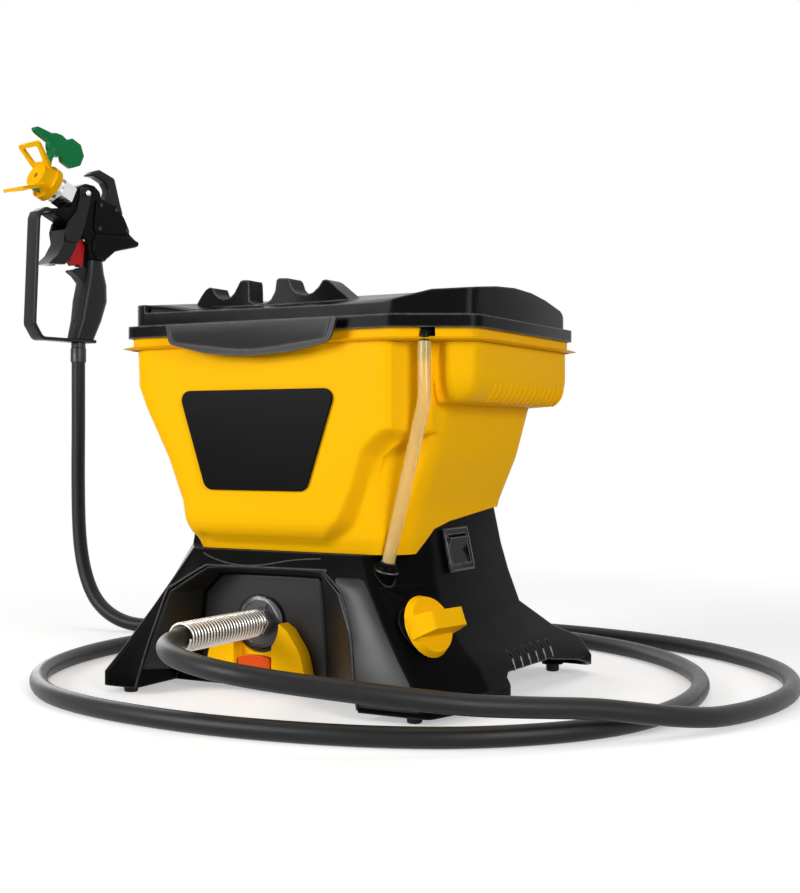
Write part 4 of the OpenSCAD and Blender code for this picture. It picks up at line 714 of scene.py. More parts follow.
# this table and those of the base, the lid and the switch: millimetres, from the sprayer's middle
tank = {
    "middle": (10, -30), "seatZ": 124.3, "seatRise": 32, "bandZ": 293, "wall": 3,
    "seat": [(-200, 0), (-90, 0), (-66, 0.58), (-40, 0.74), (40, 0.98), (60, 1), (200, 1)],
    # height, left, right, front, back, corner cut along x and y, radius
    "funnel": [
        (112, -84, 112, -112, 52, 16, 12, 16), (124, -86, 114, -115, 54, 18, 14, 18),
        (136, -90, 117, -120, 61, 22, 18, 20), (162, -94, 121, -122, 67, 28, 22, 22),
        (200, -109, 133, -124, 77, 44, 28, 24), (243, -133, 142, -126, 84, 52, 34, 26),
        (261, -141, 150, -127, 88, 56, 34, 26), (293, -143, 166, -128, 93, 56, 34, 16),
        (300, -143, 166, -128, 93, 56, 34, 16)],
    "cutRound": 20, "backRound": 18, "cutWall": (0.3, 0.5), "cornerSteps": 6,
    "rowBlur": (5, 2.4),                  # reach and spread, in rows, of the smoothing from row to row
    # the raised front: height, left side, setback
    "front": [(128, -87, 18), (132, -88, 12.5), (137, -90, 7), (142, -91, 3), (147, -92, 0.8),
              (152, -93, 0), (164, -95, 0), (200, -110, 0), (243, -134, 0), (261, -142, 0),
              (300, -143.5, 0)],
    "faceY": -134, "footY": -121, "slope": 13, "lead": 1.5,
    "frontRight": 136, "frontTurn": 110, "frontEnd": 161, "frontSide": -100, "frontBack": -10,
    "frontRounds": (22, 18, 12, 4), "frontSteps": 90, "frontGap": 0.5, "arcSteps": 8, "searchSteps": 120,
    "frontFrom": (126, 12), "frontBlend": 1.6, "footExtra": 2, "movedTo": -60,
    # the face's right and lower edge: x, z, radius
    "edge": [(136, 310, 1), (-200, 310, 1), (-200, 143, 1), (-65, 143, 20), (-43, 136, 18), (36, 135, 24),
             (66, 151, 24), (79, 179, 30), (88, 208, 24), (104, 222, 22), (136, 235, 6)],
    "boxLeft": 126, "boxRight": 172, "boxFront": -98, "boxBack": 91.5, "boxFoot": 243.5,
    "boxRound": (17, 26), "boxCut": (20, 13), "boxBlend": 2.5,
    "boxCorners": (3, 12, 9), "boxDraw": (0.8, 0.5, 0.4),      # share of the inset: corner, front, back
    "tubeX": 138, "tubeY": -121, "tubeBend": 246, "tubeFoot": (100, -113, 112), "channel": 9.3,
    "channelLess": 2.5,                   # below the tube's bend
    # rows: lowest and level height, spacing of the outer and inner rows, rows below the level one
    "lowZ": 110, "levelZ": 168, "outerStep": 1.5, "innerStep": 5, "outerRows": 26, "innerRows": 10,
    "tableStep": 1.0, "tableOver": 4, "levelOver": 0.6,      # the table's spacing, and how far past the band
    "floorRings": (0.04, 0.3, 0.6, 0.8, 0.92),
    # degrees round the tank, and the points up to the next: close together by the box's corner and the tube
    "spread": [(-180, 30), (-140, 26), (-122, 60), (-62, 170), (-12, 24), (20, 20), (48, 14), (66, 40),
               (160, 14), (180, 0)],
    "footGuess": 150, "footRounds": 8, "sharp": 42,
    "rimCut": 1.4, "rimRounding": (0.9, 2, 40),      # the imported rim: where it starts, and its bevel
}
ribs = {"count": 15, "first": -62, "pitch": 10.1, "width": 1.7, "proud": 1.5, "height": 17,
        "rows": 18, "sides": 10, "taper": 0.35, "start": 0.03}


# Each corner becomes an arc of its radius, between the points where the arc meets the two sides.
def roundCorners(corners, steps):
    table = np.asarray(corners, float)
    point, radius = table[:, :2], table[:, 2:3]
    back, ahead = unit(np.roll(point, 1, 0) - point), unit(np.roll(point, -1, 0) - point)
    half = np.arccos(np.clip((back * ahead).sum(1), -1, 1))[:, None] / 2
    middle = point + unit(back + ahead) * radius / np.sin(half)
    first = (point + back * radius / np.tan(half) - middle)[:, None]
    last = (point + ahead * radius / np.tan(half) - middle)[:, None]
    turn = (math.pi - 2 * half)[:, None]
    share = np.linspace(0, 1, steps + 1)[None, :, None]
    arc = (np.sin((1 - share) * turn) * first + np.sin(share * turn) * last) / np.sin(turn)
    return (middle[:, None] + arc).reshape(-1, 2)


# Distance from the middle to the outline's farthest crossing with a ray at each angle.
def reachOf(outline, angle):
    a = outline - tank["middle"]
    e = np.roll(a, -1, 0) - a
    dx, dy = np.cos(angle)[:, None], np.sin(angle)[:, None]
    cross = dx * e[:, 1] - dy * e[:, 0]
    cross = np.where(np.abs(cross) < 1e-9, 1e-9, cross)
    t = (a[:, 0] * e[:, 1] - a[:, 1] * e[:, 0]) / cross
    s = (a[:, 0] * dy - a[:, 1] * dx) / cross
    return np.where((s >= 0) & (s <= 1) & (t > 0), t, 0).max(1)


# The larger of the two, blended over the width where they are nearly equal.
def softMax(a, b, width):
    share = np.clip(0.5 + 0.5 * (a - b) / width, 0, 1)
    return b + (a - b) * share + width * share * (1 - share)


# How far a rounded corner stands in: size (1 - sqrt(1 - (1 - rise)^2)), from all at its foot to nothing.
def quarterInset(size, rise):
    return size * (1 - np.sqrt(np.clip(1 - (1 - rise) ** 2, 0, 1)))


# Signed distance of each point from a closed outline, positive outside.
def outsideOf(outline, points):
    a = outline[None]
    e = np.roll(outline, -1, 0)[None] - a
    w = points[:, None] - a
    share = np.clip((w * e).sum(2) / np.maximum((e * e).sum(2), 1e-12), 0, 1)
    distance = np.sqrt((((w - share[..., None] * e)) ** 2).sum(2).min(1))
    x, y = points[:, None, 0], points[:, None, 1]
    below = (a[..., 1] > y) != (a[..., 1] + e[..., 1] > y)
    crossX = a[..., 0] + e[..., 0] * (y - a[..., 1]) / np.where(e[..., 1] == 0, 1e-9, e[..., 1])
    inside = (below & (x < crossX)).sum(1) % 2 == 1
    return np.where(inside, -distance, distance)


# The funnel at one height: four sides, the right front corner cut, each side in by the wall.
def funnelOutline(row, wall):
    left, right, front, back, cutX, cutY, radius = row
    cut, corner = tank["cutRound"], tank["backRound"]
    wallX, wallY = wall * np.array(tank["cutWall"])
    return roundCorners([
        (left + wall, front + wall, radius), (right - cutX - wallX, front + wall, cut),
        (right - wall, front + cutY + wallY, cut), (right - wall, back - wall, corner),
        (left + wall, back - wall, corner)], tank["cornerSteps"])


# The box over the switch at one height: its foot is drawn in by the inset, less so at front and back.
def boxOutline(inset, wall):
    left, right = tank["boxLeft"] + wall, tank["boxRight"] - wall
    front, back = tank["boxFront"] + wall, tank["boxBack"] - wall
    (cutX, cutY), (small, large, nose) = tank["boxCut"], tank["boxCorners"]
    corner, ahead, behind = inset * np.array(tank["boxDraw"])
    return roundCorners([
        (left, front + small, small), (right - cutX, front - cutY + corner, large),
        (right - inset, front + ahead, nose), (right - inset, back - behind, large),
        (left, back - behind, small)], tank["cornerSteps"])


# The raised front at one height: a rounded outline whose face runs back along the slope.
def frontOutline(z, left, setback, face):
    front, end, rounds = tank["faceY"] + setback, tank["frontEnd"], tank["frontRounds"]
    slope, lead, steps = tank["slope"], tank["lead"], tank["frontSteps"]
    across = np.linspace(0, end, tank["searchSteps"])
    away = outsideOf(face, np.column_stack([across, np.full(len(across), z)]))
    right = across[np.argmax(away >= slope)] if (away >= slope).any() else tank["frontRight"]
    outline = roundCorners([
        (left, front, rounds[0]), (tank["frontTurn"], front, rounds[1]),
        (end, tank["frontSide"] + setback, rounds[2]), (end, tank["frontBack"], rounds[3]),
        (left, tank["frontBack"], rounds[3])], tank["arcSteps"])
    # more points between the first corner's last and the second corner's first
    first, rest = np.split(outline, [tank["arcSteps"] + 1])
    x = np.linspace(first[-1, 0] + tank["frontGap"], rest[0, 0] - tank["frontGap"], steps)
    outline = np.vstack([first, np.column_stack([x, np.full(steps, first[-1, 1])]), rest])
    away = outsideOf(face, np.column_stack([outline[:, 0], np.full(len(outline), z)]))
    share = np.clip((away + lead) / (slope + lead), 0, 1)
    share = share * share * (3 - 2 * share)
    limit = tank["faceY"] + (tank["footY"] - tank["faceY"] + tank["footExtra"]) * share
    ahead = outline[:, 1] < tank["movedTo"]
    outline[ahead, 1] = np.maximum(outline[ahead, 1], limit[ahead])
    outline[:, 0] = np.minimum(outline[:, 0], min(right, tank["frontRight"]))
    return outline


def spreadAngles():
    stops, counts = np.array(tank["spread"], float).T
    stops = np.radians(stops)
    return np.concatenate([np.linspace(a, b, int(n), endpoint=False)
                           for a, b, n in zip(stops[:-1], stops[1:], counts)])


# Reach of the tank's wall at every height and angle: funnel, raised front and box, blended.
def tankTable(heights, angles, wall, withFront):
    rows = np.column_stack([readTable(tank["funnel"], heights, k) for k in range(1, 8)])
    reach = np.array([reachOf(funnelOutline(row, wall), angles) for row in rows])
    near, spread = tank["rowBlur"]
    kernel = np.exp(-0.5 * (np.arange(-near, near + 1) / spread) ** 2)
    padded = np.pad(reach, ((near, near), (0, 0)), mode="edge")
    reach = sum(k * padded[i:i + len(heights)] for i, k in enumerate(kernel / kernel.sum()))
    if withFront:
        face = roundCorners(tank["edge"], tank["arcSteps"])
        rows = zip(heights, readTable(tank["front"], heights), readTable(tank["front"], heights, 2))
        raised = np.array([reachOf(frontOutline(*row, face), angles) for row in rows])
        start, over = tank["frontFrom"]
        low = np.clip((heights - start) / over, 0, 1)[:, None]
        reach = reach + (softMax(raised, reach, tank["frontBlend"]) - reach) * low ** 0.5
    deep, tall = tank["boxRound"]
    rise = np.clip((heights - tank["boxFoot"] - wall) / tall, -0.2, 1)
    box = np.array([reachOf(boxOutline(i, wall), angles) for i in quarterInset(deep, rise)])
    box = np.where((rise < 0)[:, None], 0, box)
    reach = np.where(box > 0, softMax(box, reach, tank["boxBlend"]), reach)
    return channelled(reach, heights, angles, tank["channel"] + wall)


# A ray that would end inside the return tube's channel stops where it enters it.
def channelled(reach, heights, angles, radius):
    foot = np.array(tank["tubeFoot"], float)
    top = np.array([tank["tubeX"], tank["tubeY"], tank["tubeBend"]])
    share = np.clip((heights - foot[2]) / (top[2] - foot[2]), 0, 1)[:, None]
    x = foot[0] + (top[0] - foot[0]) * share - tank["middle"][0]
    y = foot[1] + (top[1] - foot[1]) * share - tank["middle"][1]
    radius = np.where(share < 1, radius - tank["channelLess"], radius)
    along = x * np.cos(angles) + y * np.sin(angles)
    aside = x * np.sin(angles) - y * np.cos(angles)
    half = np.sqrt(np.clip(radius ** 2 - aside ** 2, 0, None))
    near = along - half
    return np.where((half > 0) & (reach > near), np.where(reach < along + half, near, reach), reach)


# Height of the sloping seat that the tank stands on.
def tankHeight(y):
    return tank["seatZ"] + tank["seatRise"] * readTable(tank["seat"], y)


# Value of each column of the table at its own height.
def lookUp(table, heights, z):
    place = np.clip((z - heights[0]) / (heights[1] - heights[0]), 0, len(heights) - 1.001)
    low = place.astype(int)
    column = np.arange(table.shape[1])
    return table[low, column] * (1 - (place - low)) + table[low + 1, column] * (place - low)


# The wall as rows of points: the lowest row lies on the seat, then the rows become level.
def tankSide(angles, wall, withFront, rowsLow, spacing, lift):
    heights = np.arange(tank["lowZ"], tank["bandZ"] + tank["tableOver"], tank["tableStep"])
    table = tankTable(heights, angles, wall, withFront)
    foot = np.full(len(angles), float(tank["footGuess"]))
    for _ in range(tank["footRounds"]):
        foot = tankHeight(tank["middle"][1] + lookUp(table, heights, foot) * np.sin(angles)) + lift
    share = np.linspace(0, 1, rowsLow, endpoint=False)[:, None]
    level = np.arange(tank["levelZ"], tank["bandZ"] + tank["levelOver"], spacing)
    z = np.vstack([foot + (tank["levelZ"] - foot) * share, np.repeat(level[:, None], len(angles), 1)])
    reach = np.array([lookUp(table, heights, row) for row in z])
    x, y = tank["middle"]
    return np.stack([x + reach * np.cos(angles), y + reach * np.sin(angles), z], -1)


# Rings that shrink towards the middle and follow the seat.
def tankFloor(rim, lift):
    shares = np.array(tank["floorRings"])[:, None, None]
    middle = np.array([*tank["middle"], 0.0])
    rings = middle + (rim[None] - middle) * shares
    rings[..., 2] = tankHeight(rings[..., 1]) + lift
    return rings


# One closed surface: the floor from its middle out, up the outer wall, down the inner wall and back in.
def makeTank():
    angles = spreadAngles()
    wall = tank["wall"]
    outer = tankSide(angles, 0, True, tank["outerRows"], tank["outerStep"], 0)
    inner = tankSide(angles, wall, False, tank["innerRows"], tank["innerStep"], wall)
    rows = np.concatenate([tankFloor(outer[0], 0), outer, inner[::-1], tankFloor(inner[0], wall)[::-1]])
    faces = fillEnds(gridFaces(len(rows), len(angles)), len(rows), len(angles))
    piece = addPiece("tankBody", onSprayer(rows / 1000), faces)
    markSharp(piece, tank["sharp"])
    standFor(piece, "hopper", "yellowMoulding")
    cut = (tank["bandZ"] - tank["rimCut"]) / 1000
    rim = soften("hopper", *tank["rimRounding"], cut=cut, label="tankRim")
    print("tank", len(piece.data.polygons), len(rim.data.polygons))


# Each rib follows the box's rounded foot: an oval section, half of it sunk in the box, whose size goes from
# end to end by sin(pi s) to the power of the taper.
def makeRibs():
    deep, tall = tank["boxRound"]
    rows, sides, count = ribs["rows"], ribs["sides"], ribs["count"]
    rise = np.linspace(ribs["start"], ribs["height"] / tall, rows)
    line = np.column_stack([tank["boxRight"] - quarterInset(deep, rise), tank["boxFoot"] + rise * tall])
    way = unit(np.gradient(line, axis=0))
    size = np.sin(np.linspace(0, math.pi, rows))[:, None] ** ribs["taper"]
    turn = circle(sides)
    centre = ribs["first"] + ribs["pitch"] * np.arange(count)
    x = line[:, 0, None] + way[:, 1, None] * size * ribs["proud"] * np.cos(turn)
    z = line[:, 1, None] - way[:, 0, None] * size * ribs["proud"] * np.cos(turn)
    y = centre[:, None, None] + ribs["width"] * size * np.sin(turn)
    points = np.stack([x + 0 * y, y, z + 0 * y], -1)
    start = rows * sides * np.arange(count)[:, None, None]
    faces = (np.array(gridFaces(rows, sides)) + start).reshape(-1, 4).tolist()
    caps = np.array([np.arange(sides)[::-1], np.arange(sides) + (rows - 1) * sides])
    faces += (caps + start).reshape(-1, sides).tolist()
    piece = addPiece("tankRibs", onSprayer(points / 1000), faces)
    standFor(piece, "hopper", "yellowMoulding")


makeTank()
makeRibs()
print("stage: tank")

# the base's front face: height, place along Y; millimetres from the sprayer's middle
frontFace = [(6, -150), (18, -150), (35, -146), (48, -143), (72, -137), (100, -129), (124, -119)]

# x and z of the arch's edge, and of the panel that the lining ends on
archLining = {
    "edge": [(-117, 22), (-108, 60), (-101, 86), (-66, 108), (-50, 109), (30, 109.6), (46, 109), (66, 93),
             (82, 62), (93, 22)],
    "panel": [(-96, 18), (-93, 56), (-90, 84), (-71, 101), (-50, 102), (24, 102), (29, 101), (31, 84),
              (33, 56), (35, 18)],
    "back": -95.3, "sunk": 2.2, "curve": 0.9, "wall": 0.0012,
    "steps": 14, "between": 6, "sharp": 30,
}


# Straight lines from the arch's edge on the sloping front to the panel, drawn in by a soft curve.
def makeArchLining():
    edge, panel = archLining["edge"], archLining["panel"]
    fine = np.linspace(0, len(edge) - 1, (len(edge) - 1) * archLining["between"] + 1)
    (edgeX, edgeZ), (panelX, panelZ) = (
        [np.interp(fine, np.arange(len(line)), column) for column in np.array(line, float).T]
        for line in (edge, panel))
    front = readTable(frontFace, edgeZ) + archLining["sunk"]
    share = np.linspace(0, 1, archLining["steps"])[:, None]
    depth = share ** archLining["curve"]
    points = np.stack([edgeX + (panelX - edgeX) * depth, front + (archLining["back"] - front) * share,
                       edgeZ + (panelZ - edgeZ) * depth], -1)
    faces = turnedOver(gridFaces(archLining["steps"], len(fine), closedRow=False))
    piece = addPiece("archLining", onSprayer(points / 1000), faces)
    markSharp(piece, archLining["sharp"])
    addWall(piece, archLining["wall"])
    rideOn(piece, "base_shell", "frontMoulding")


# how the painted highlight lines are laid on the face
highlightTube = {"rounds": 3, "sides": 10, "ahead": 0.1}
# painted highlight lines on the base's front, laid as lighter grey tubes: x and z, radius
highlightLines = {
    "archHighlightLine": dict(
        points=[(-121, 8), (-113.5, 40), (-108, 62), (-102, 87), (-97, 92.5), (-70, 108.6), (-64, 110.4),
                (-50, 110.6), (44, 111), (50, 109.6), (66, 97.4), (70, 92), (82.4, 64), (90, 30), (95, 8)],
        radius=0.8),
    "collarHighlightLine": dict(
        points=[(-72, 120), (-62, 116.5), (-45, 112.8), (-28, 111.6), (-8, 113), (12, 116.6), (28, 118.6),
                (44, 119.6)],
        radius=0.7),
}


# Lighter grey tubes on the base's sloping front face, a painted highlight along the arch's edge and the
# collar; their middle lies on the face.
def makeHighlightLines():
    for name, highlightLine in highlightLines.items():
        x, z = np.array(highlightLine["points"], float).T
        line = np.column_stack([x, readTable(frontFace, z) - highlightTube["ahead"], z])
        line = onSprayer(smoothLine(line, highlightTube["rounds"]) / 1000)
        piece = addTube(name, line, highlightLine["radius"] / 1000, highlightTube["sides"], up=(0, 1, 0))
        rideOn(piece, "base_shell", "latchMoulding")


# Level lines between two edges: x runs from left to right by s, and y is bowed forwards by
# crown (1 - (2 s - 1)^2).
def makeBowedSheet(name, height, left, right, depth, crown, across, wall):
    share = np.linspace(0, 1, across)[None]
    height, left, right, depth, crown = (
        np.broadcast_to(value, height.shape)[:, None] for value in (height, left, right, depth, crown))
    points = np.stack([left + (right - left) * share, depth - crown * (1 - (2 * share - 1) ** 2),
                       height + 0 * share], -1)
    piece = addPiece(name, onSprayer(points / 1000), gridFaces(len(height), across, closedRow=False))
    addWall(piece, wall)
    rideOn(piece, "base_shell", "frontMoulding")


# the right leg's front: height, left edge, right edge, place along Y
legFace = {
    "rows": [(10.5, 94.4, 150.6, -150), (20, 92.6, 149, -149.5), (30, 90.4, 141, -147.2),
             (45, 87.1, 129.8, -143.7), (60, 83.9, 119, -140), (75, 77.9, 108.6, -136.1),
             (90, 70.8, 98.8, -131.9), (100, 62.5, 92.4, -129), (107, 56.5, 88.6, -126)],
    "crown": 2.0, "flatTop": 12, "behind": 0.25, "across": 25, "along": 60, "wall": 0.001,
}


# The crown fades over the leg's top, by the square root of the height that is left.
def makeLegFace():
    rows = legFace["rows"]
    height = np.linspace(rows[0][0], rows[-1][0], legFace["along"])
    left, right, face = (readTable(rows, height, k) for k in (1, 2, 3))
    fade = np.clip((rows[-1][0] - height) / legFace["flatTop"], 0, 1) ** 0.5
    makeBowedSheet("legFace", height, left, right, face + legFace["behind"], legFace["crown"] * fade,
                   legFace["across"], legFace["wall"])


archPanel = {"low": 18, "high": 101.8, "crown": 0.7, "ahead": 0.25, "across": 30, "along": 40,
             "wall": 0.0008}


# The panel inside the arch, from the left half of the lining's end to its right half.
def makeArchPanel():
    outline = np.array(archLining["panel"], float)[:, ::-1]
    height = np.linspace(archPanel["low"], archPanel["high"], archPanel["along"])
    makeBowedSheet("archPanel", height, readTable(outline[:5], height), readTable(outline[:4:-1], height),
                   archLining["back"] - archPanel["ahead"], archPanel["crown"], archPanel["across"],
                   archPanel["wall"])


ventLightBars = {"first": -22, "pitch": 16, "count": 6, "middleZ": 30.5, "lean": math.radians(28), "half": 4.6,
            "radius": 0.9, "sunk": 0.7, "rows": 7, "sides": 8,
            "face": [(22, 173.9), (24, 172.8), (30.5, 169.4), (34, 167.4), (37, 164.9)]}


# A light grey round bar in each vent slot, along the slot's slant and on the foot's sloping side: painted
# light lines in the slots.
def makeVentLightBars():
    run = np.linspace(-ventLightBars["half"], ventLightBars["half"], ventLightBars["rows"])
    z = ventLightBars["middleZ"] + run * math.cos(ventLightBars["lean"])
    x = readTable(ventLightBars["face"], z) - ventLightBars["sunk"]
    for letter, side in (("L", -1), ("R", 1)):
        for i in range(ventLightBars["count"]):
            y = ventLightBars["first"] + ventLightBars["pitch"] * i + run * math.sin(ventLightBars["lean"])
            line = onSprayer(np.column_stack([side * x, y, z]) / 1000)
            piece = addTube("ventLightBar%s%d" % (letter, i), line, ventLightBars["radius"] / 1000, ventLightBars["sides"],
                            up=(1, 0, 0))
            rideOn(piece, "base_shell", "ventLightGrey")


socketHighlightRing = {"middle": (100.3, -113.3, 112.2), "radius": 9.0, "wire": 1.1, "steps": 48, "sides": 12}


# A ring about the return tube, in metal, a painted highlight on the socket's rim: a circle square to the
# tube, carried round by a smaller circle.
def makeSocketHighlightRing():
    steps, sides, wire = socketHighlightRing["steps"], socketHighlightRing["sides"], socketHighlightRing["wire"]
    rise = unit(np.array([*returnLine["top"], returnLine["bendZ"]]) - returnLine["socket"])
    first = unit(np.cross(rise, (0, 1, 0)))
    second = np.cross(rise, first)
    turn, small = circle(steps)[:, None, None], circle(sides)[None, :, None]
    out = np.cos(turn) * first + np.sin(turn) * second
    points = (np.array(socketHighlightRing["middle"]) + out * (socketHighlightRing["radius"] + wire * np.cos(small))
              + rise * wire * np.sin(small))
    piece = addPiece("socketHighlightRing", onSprayer(points / 1000),
                     turnedOver(gridFaces(steps, sides, closedColumn=True)))
    rideOn(piece, "tube_socket", "flangeSteel")


lidTray = {
    "left": -129.4, "right": -72, "front": -126.2, "back": -46, "rows": 40, "columns": 34,
    "rim": [(-127, 330.4), (-100, 333.3), (-80, 335.4), (-60, 337.5), (-40, 338.6)],
    "floor": [(-127, 324.0), (-100, 328.45), (-80, 331.75), (-60, 335.1), (-40, 338.45)],
    # the front's rows: how far down, and how far back
    "drop": (1.0, 0.55, 0.2, 0.05), "setback": (0.0, 0.25, 0.9, 2.0), "setbackTo": -122, "sunk": 1.2,
    "tuck": 1.0,      # the last row goes down and back by this, into the lid
}


# Fills the tray's left end: from the rim's height to the floor's by (1 - t)^2 (1 + 2 t), and the front
# drops away.
def makeLidTray():
    left, front, setback = lidTray["left"], lidTray["front"], lidTray["setback"]
    x = np.linspace(left, lidTray["right"], lidTray["columns"])[None]
    y = np.linspace(front, lidTray["back"], lidTray["rows"])[:, None]
    t = (x - left) / (lidTray["right"] - left)
    bottom = readTable(lidTray["floor"], y)
    top = bottom + (readTable(lidTray["rim"], y) - bottom) * (1 - t) ** 2 * (1 + 2 * t)
    edge = top[:1] - (top[:1] - bottom[:1] + lidTray["sunk"]) * np.array(lidTray["drop"])[:, None]
    z = np.vstack([edge, top[1:], bottom[-1:] + 0 * x - lidTray["tuck"]])
    # the rows just behind the dropped front move back with it
    y = np.vstack([front + np.array(setback)[:, None],
                   y[1:] + setback[-1] * (y[1:] < lidTray["setbackTo"]), y[-1:] + lidTray["tuck"]])
    points = np.stack([x + 0 * z, y + 0 * z, z], -1)
    piece = addPiece("lidTray", onSprayer(points / 1000), gridFaces(len(z), x.size, closedRow=False))
    rideOn(piece, "lid", "lidMoulding")


makeArchLining()
makeHighlightLines()
makeLegFace()
makeArchPanel()
makeVentLightBars()
makeSocketHighlightRing()
makeLidTray()
print("stage: base")

# millimetres, from the foot of the grip: corners x, z, radius; the plate's two sides; the rounding of each
gunBack = [(25, 134.5, 8), (36, 139, 8), (43, 142.4, 1), (43, 148, 1), (30, 150, 3), (22.5, 149, 4),
           (10.5, 176, 6), (-2, 182, 8), (-14, 181, 7), (-22, 175, 5), (-24, 168, 3), (-44, 163.5, 3),
           (-56, 150, 8), (-66, 131, 4), (-78, 123, 3), (-77, 117, 3), (-52, 110.5, 8), (-42, 107.5, 5),
           (-34, 100, 5), (-29, 95.2, 1)]
tipHead = {"middle": (17, 48), "radius": 17.2, "corners": 8, "round": 4}
gunPlates = {
    "gunBodyRight": dict(
        node="gun_body", sides=(-13, -5.6), rounds=(3.2, 0.1),
        corners=[(-7, 95.2, 1), (-4, 112, 6), (3, 121, 5), (14, 128, 6)] + gunBack),
    "gunBodyLeft": dict(node="gun_body", like="gunBodyRight", sides=(5.6, 13), rounds=(0.1, 3.2)),
    "gunBodyMiddle": dict(
        node="gun_body", sides=(-5.6, 5.6), rounds=(0.1, 0.1),
        corners=[(-8.5, 95.2, 1), (-8.5, 123, 1), (6.5, 123, 1), (14, 128, 4)] + gunBack),
    "gunCoverRight": dict(
        node="gun_cover", sides=(-15.6, -12.9), rounds=(1.0, 0.1),
        corners=[(-14, 166, 4), (-43, 161.5, 5), (-55, 148, 18), (-65, 129.6, 4), (-11, 126.6, 4)]),
    "gunCoverLeft": dict(node="gun_cover", like="gunCoverRight", sides=(12.9, 15.6), rounds=(0.1, 1.0)),
    "gunShoulderRight": dict(
        node="gun_body", sides=(-16.0, -12.0), rounds=(2.6, 0.1),
        corners=[(-77.4, 122.4, 2.2), (-76.4, 117.6, 2.2), (-52, 111.2, 8), (-42, 108, 5), (-33, 100.5, 5),
                 (-27, 96.2, 2), (-14, 96.2, 2), (-9, 106, 8), (-9, 118, 5), (-14, 124.6, 5),
                 (-64, 127.4, 5)]),
    "gunShoulderLeft": dict(node="gun_body", like="gunShoulderRight", sides=(12.0, 16.0),
                            rounds=(0.1, 2.6)),
    "hookPlate": dict(
        node="rear_hook", sides=(-7, 7), rounds=(2.6, 2.6),
        corners=[(-32, 166.3, 2), (-36, 171, 3), (-39, 180, 5), (-33, 188, 4), (-21, 192.5, 6),
                 (-13, 193, 0.6), (-12, 194.5, 0.8), (-17, 199, 3), (-26, 202, 5), (-48, 195, 5),
                 (-56, 168, 20), (-61, 153, 2), (-54, 152.6, 2), (-44, 163.7, 3)]),
    "guardStrap": dict(
        node="hand_guard", sides=(-10, 10), rounds=(1.7, 1.7),
        corners=[(43.2, 148, 0.8), (51, 149, 5), (60, 143.5, 5), (63, 136, 7), (68.5, 17, 9), (57, 0.3, 9),
                 (-19, 0.3, 1.6), (-19, 4.3, 1.6), (55, 4.3, 7), (64.3, 18.5, 6), (58.8, 135, 5),
                 (57, 140, 4), (50.5, 144.6, 4), (43.2, 143.4, 0.8)]),
    "tipHead": dict(
        node="spray_tip", frame="tip", sides=(-3.7, 3.7), rounds=(1.8, 1.8),
        corners=[(tipHead["middle"][0] + tipHead["radius"] * math.cos(turn),
                  tipHead["middle"][1] + tipHead["radius"] * math.sin(turn), tipHead["round"])
                 for turn in circle(tipHead["corners"]) + math.pi / tipHead["corners"]]),
    "tipPointer": dict(
        node="spray_tip", frame="tip", sides=(-3.6, 3.6), rounds=(1.6, 1.6),
        corners=[(18, 40, 3), (31, 34, 4), (42, 31.5, 4), (47, 37, 4), (49, 42, 3), (66, 42.5, 3),
                 (70.5, 44, 1.6), (71.5, 46.5, 1.4), (69, 49, 2), (60, 51, 8), (50, 53, 8), (45, 56.5, 5),
                 (37, 59, 6), (30, 58, 8), (22, 60, 3)]),
}
barrel = {"root": (16, 0, 164.5), "rise": math.radians(24.5)}
plateShape = {"cornerSteps": 4, "sideSteps": 5, "mostInset": 0.9, "sharp": 50}


# Turns by the gun's heading about its upright and moves to its foot.
def onGun(points):
    turn, (x, y, z) = layout["gunHeading"], np.moveaxis(points, -1, 0)
    return np.stack([x * math.cos(turn) - y * math.sin(turn), x * math.sin(turn) + y * math.cos(turn), z],
                    -1) + layout["gun"]


# From the spray tip's own plane to the gun's: along the barrel, across it and square to both.
def fromTip(points):
    sine, cosine = math.sin(barrel["rise"]), math.cos(barrel["rise"])
    x, y, z = np.moveaxis(points, -1, 0)
    return np.stack([x * cosine - z * sine, y, x * sine + z * cosine], -1) + barrel["root"]


# Unit inward normals of an anticlockwise outline, lengthened at corners so that both sides move alike.
def inwardOf(outline):
    edge = unit(np.roll(outline, -1, 0) - outline)
    normal = np.column_stack([-edge[:, 1], edge[:, 0]])
    both = unit(normal + np.roll(normal, 1, 0))
    return both / np.clip((both * normal).sum(1), 0.5, 1)[:, None]


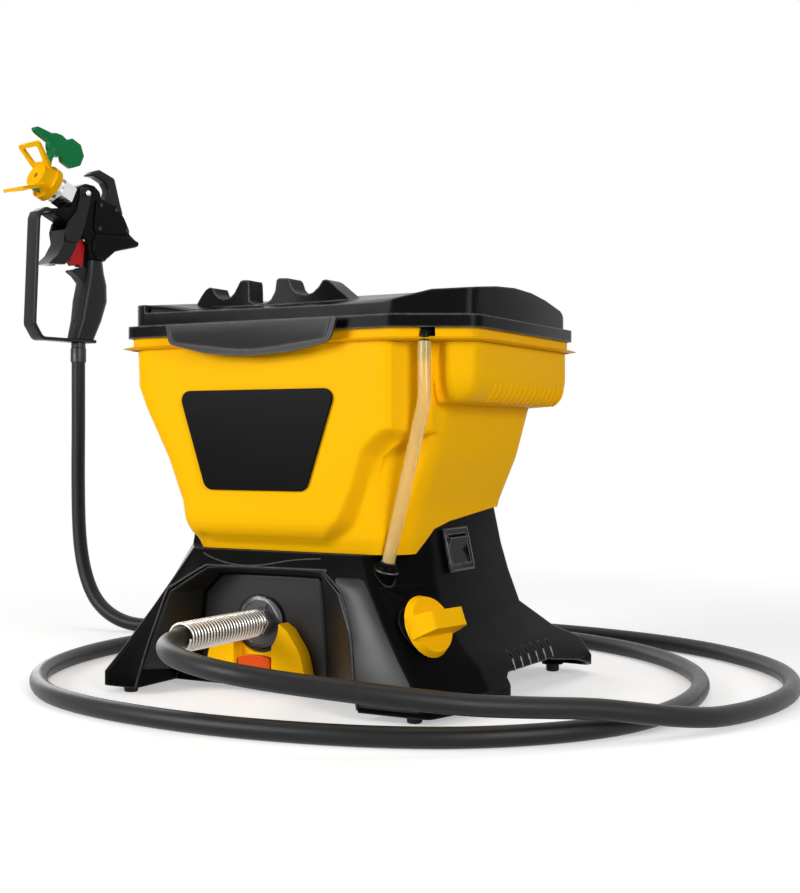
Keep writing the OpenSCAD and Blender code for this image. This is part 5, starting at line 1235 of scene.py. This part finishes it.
# Rings from side to side: each side's edge is a quarter circle, in by r(1 - cos) while out by r sin.
# The way in stays less than the corner's own radius, so that no ring crosses itself.
def plateRings(corners, sides, rounds):
    table, steps = np.asarray(corners, float), plateShape["cornerSteps"]
    area = (table[:, 0] * np.roll(table[:, 1], -1) - np.roll(table[:, 0], -1) * table[:, 1]).sum()
    table = table if area > 0 else table[::-1]
    ahead = np.roll(table[:, :2], -1, 0) - table[:, :2]
    before = np.roll(ahead, 1, 0)
    convex = before[:, 0] * ahead[:, 1] - before[:, 1] * ahead[:, 0] > 0
    limit = np.repeat(np.where(convex, plateShape["mostInset"] * table[:, 2], np.inf), steps + 1)[:, None]
    outline = roundCorners(table, steps)
    inward = inwardOf(outline)
    turn = np.linspace(0, math.pi / 2, plateShape["sideSteps"] + 1)[:, None, None]
    rings = []
    for side, way, radius in ((sides[0], -1, rounds[0]), (sides[1], 1, rounds[1])):
        flat = outline + inward * np.minimum(radius * (1 - np.cos(turn)), limit)
        depth = np.broadcast_to(side - way * radius * (1 - np.sin(turn)), flat[..., :1].shape)
        rings.append(np.concatenate([flat[..., :1], depth, flat[..., 1:]], -1)[::way])
    return np.concatenate(rings)


def makeGunPlates():
    for name, plate in gunPlates.items():
        rings = plateRings(gunPlates[plate.get("like", name)]["corners"], plate["sides"], plate["rounds"])
        points = onGun((fromTip(rings) if "frame" in plate else rings) / 1000)
        faces = fillEnds(gridFaces(*points.shape[:2]), *points.shape[:2])
        piece = addPiece(name, points, turnedOver(faces))
        markSharp(piece, plateShape["sharp"])
        # the tip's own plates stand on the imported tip, which stays
        finish = rideOn if "frame" in plate else standFor
        finish(piece, plate["node"], finishOf(plate["node"]))
    print("gun plates", len(gunPlates))


makeGunPlates()
print("stage: gun")

switchHighlightRim = {"place": (121, -30, 124), "rise": math.radians(12), "half": (17, 21), "corner": 5,
             "height": 2.2, "radius": 0.6, "steps": 6, "sides": 10}


# A small circle carried round a rounded rectangle, on the switch's leaning face; in metal, a painted
# highlight on the bezel's rim.
def makeSwitchHighlightRim():
    (tall, wide), corner, radius = switchHighlightRim["half"], switchHighlightRim["corner"], switchHighlightRim["radius"]
    outline = roundCorners([(-tall, -wide, corner), (tall, -wide, corner), (tall, wide, corner),
                            (-tall, wide, corner)], switchHighlightRim["steps"])
    small = circle(switchHighlightRim["sides"])[None, :, None]
    flat = outline[:, None] + inwardOf(outline)[:, None] * radius * np.cos(small)
    height = switchHighlightRim["height"] + radius * np.sin(small) + 0 * flat[..., :1]
    sine, cosine = math.sin(switchHighlightRim["rise"]), math.cos(switchHighlightRim["rise"])
    points = (np.array(switchHighlightRim["place"]) + flat[..., 0:1] * np.array([sine, 0, -cosine])
              + flat[..., 1:2] * np.array([0, 1, 0]) + height * np.array([cosine, 0, sine]))
    piece = addPiece("switchHighlightRim", onSprayer(points / 1000),
                     gridFaces(len(outline), switchHighlightRim["sides"], closedColumn=True))
    rideOn(piece, "switch_bezel", "flangeSteel")


makeSwitchHighlightRim()

for name, (width, steps, angle) in roundings.items():
    soften(name, width, steps, angle)
replaced = {n for piece in bpy.data.objects for n in piece.get("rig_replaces", [])}
for name, piece in nodes.items():
    if name not in replaced:
        setMaterial(piece, slotMaterial[slotOf[name]])
print("stage: moulded and turned parts", len(roundings), "of", len(nodes))
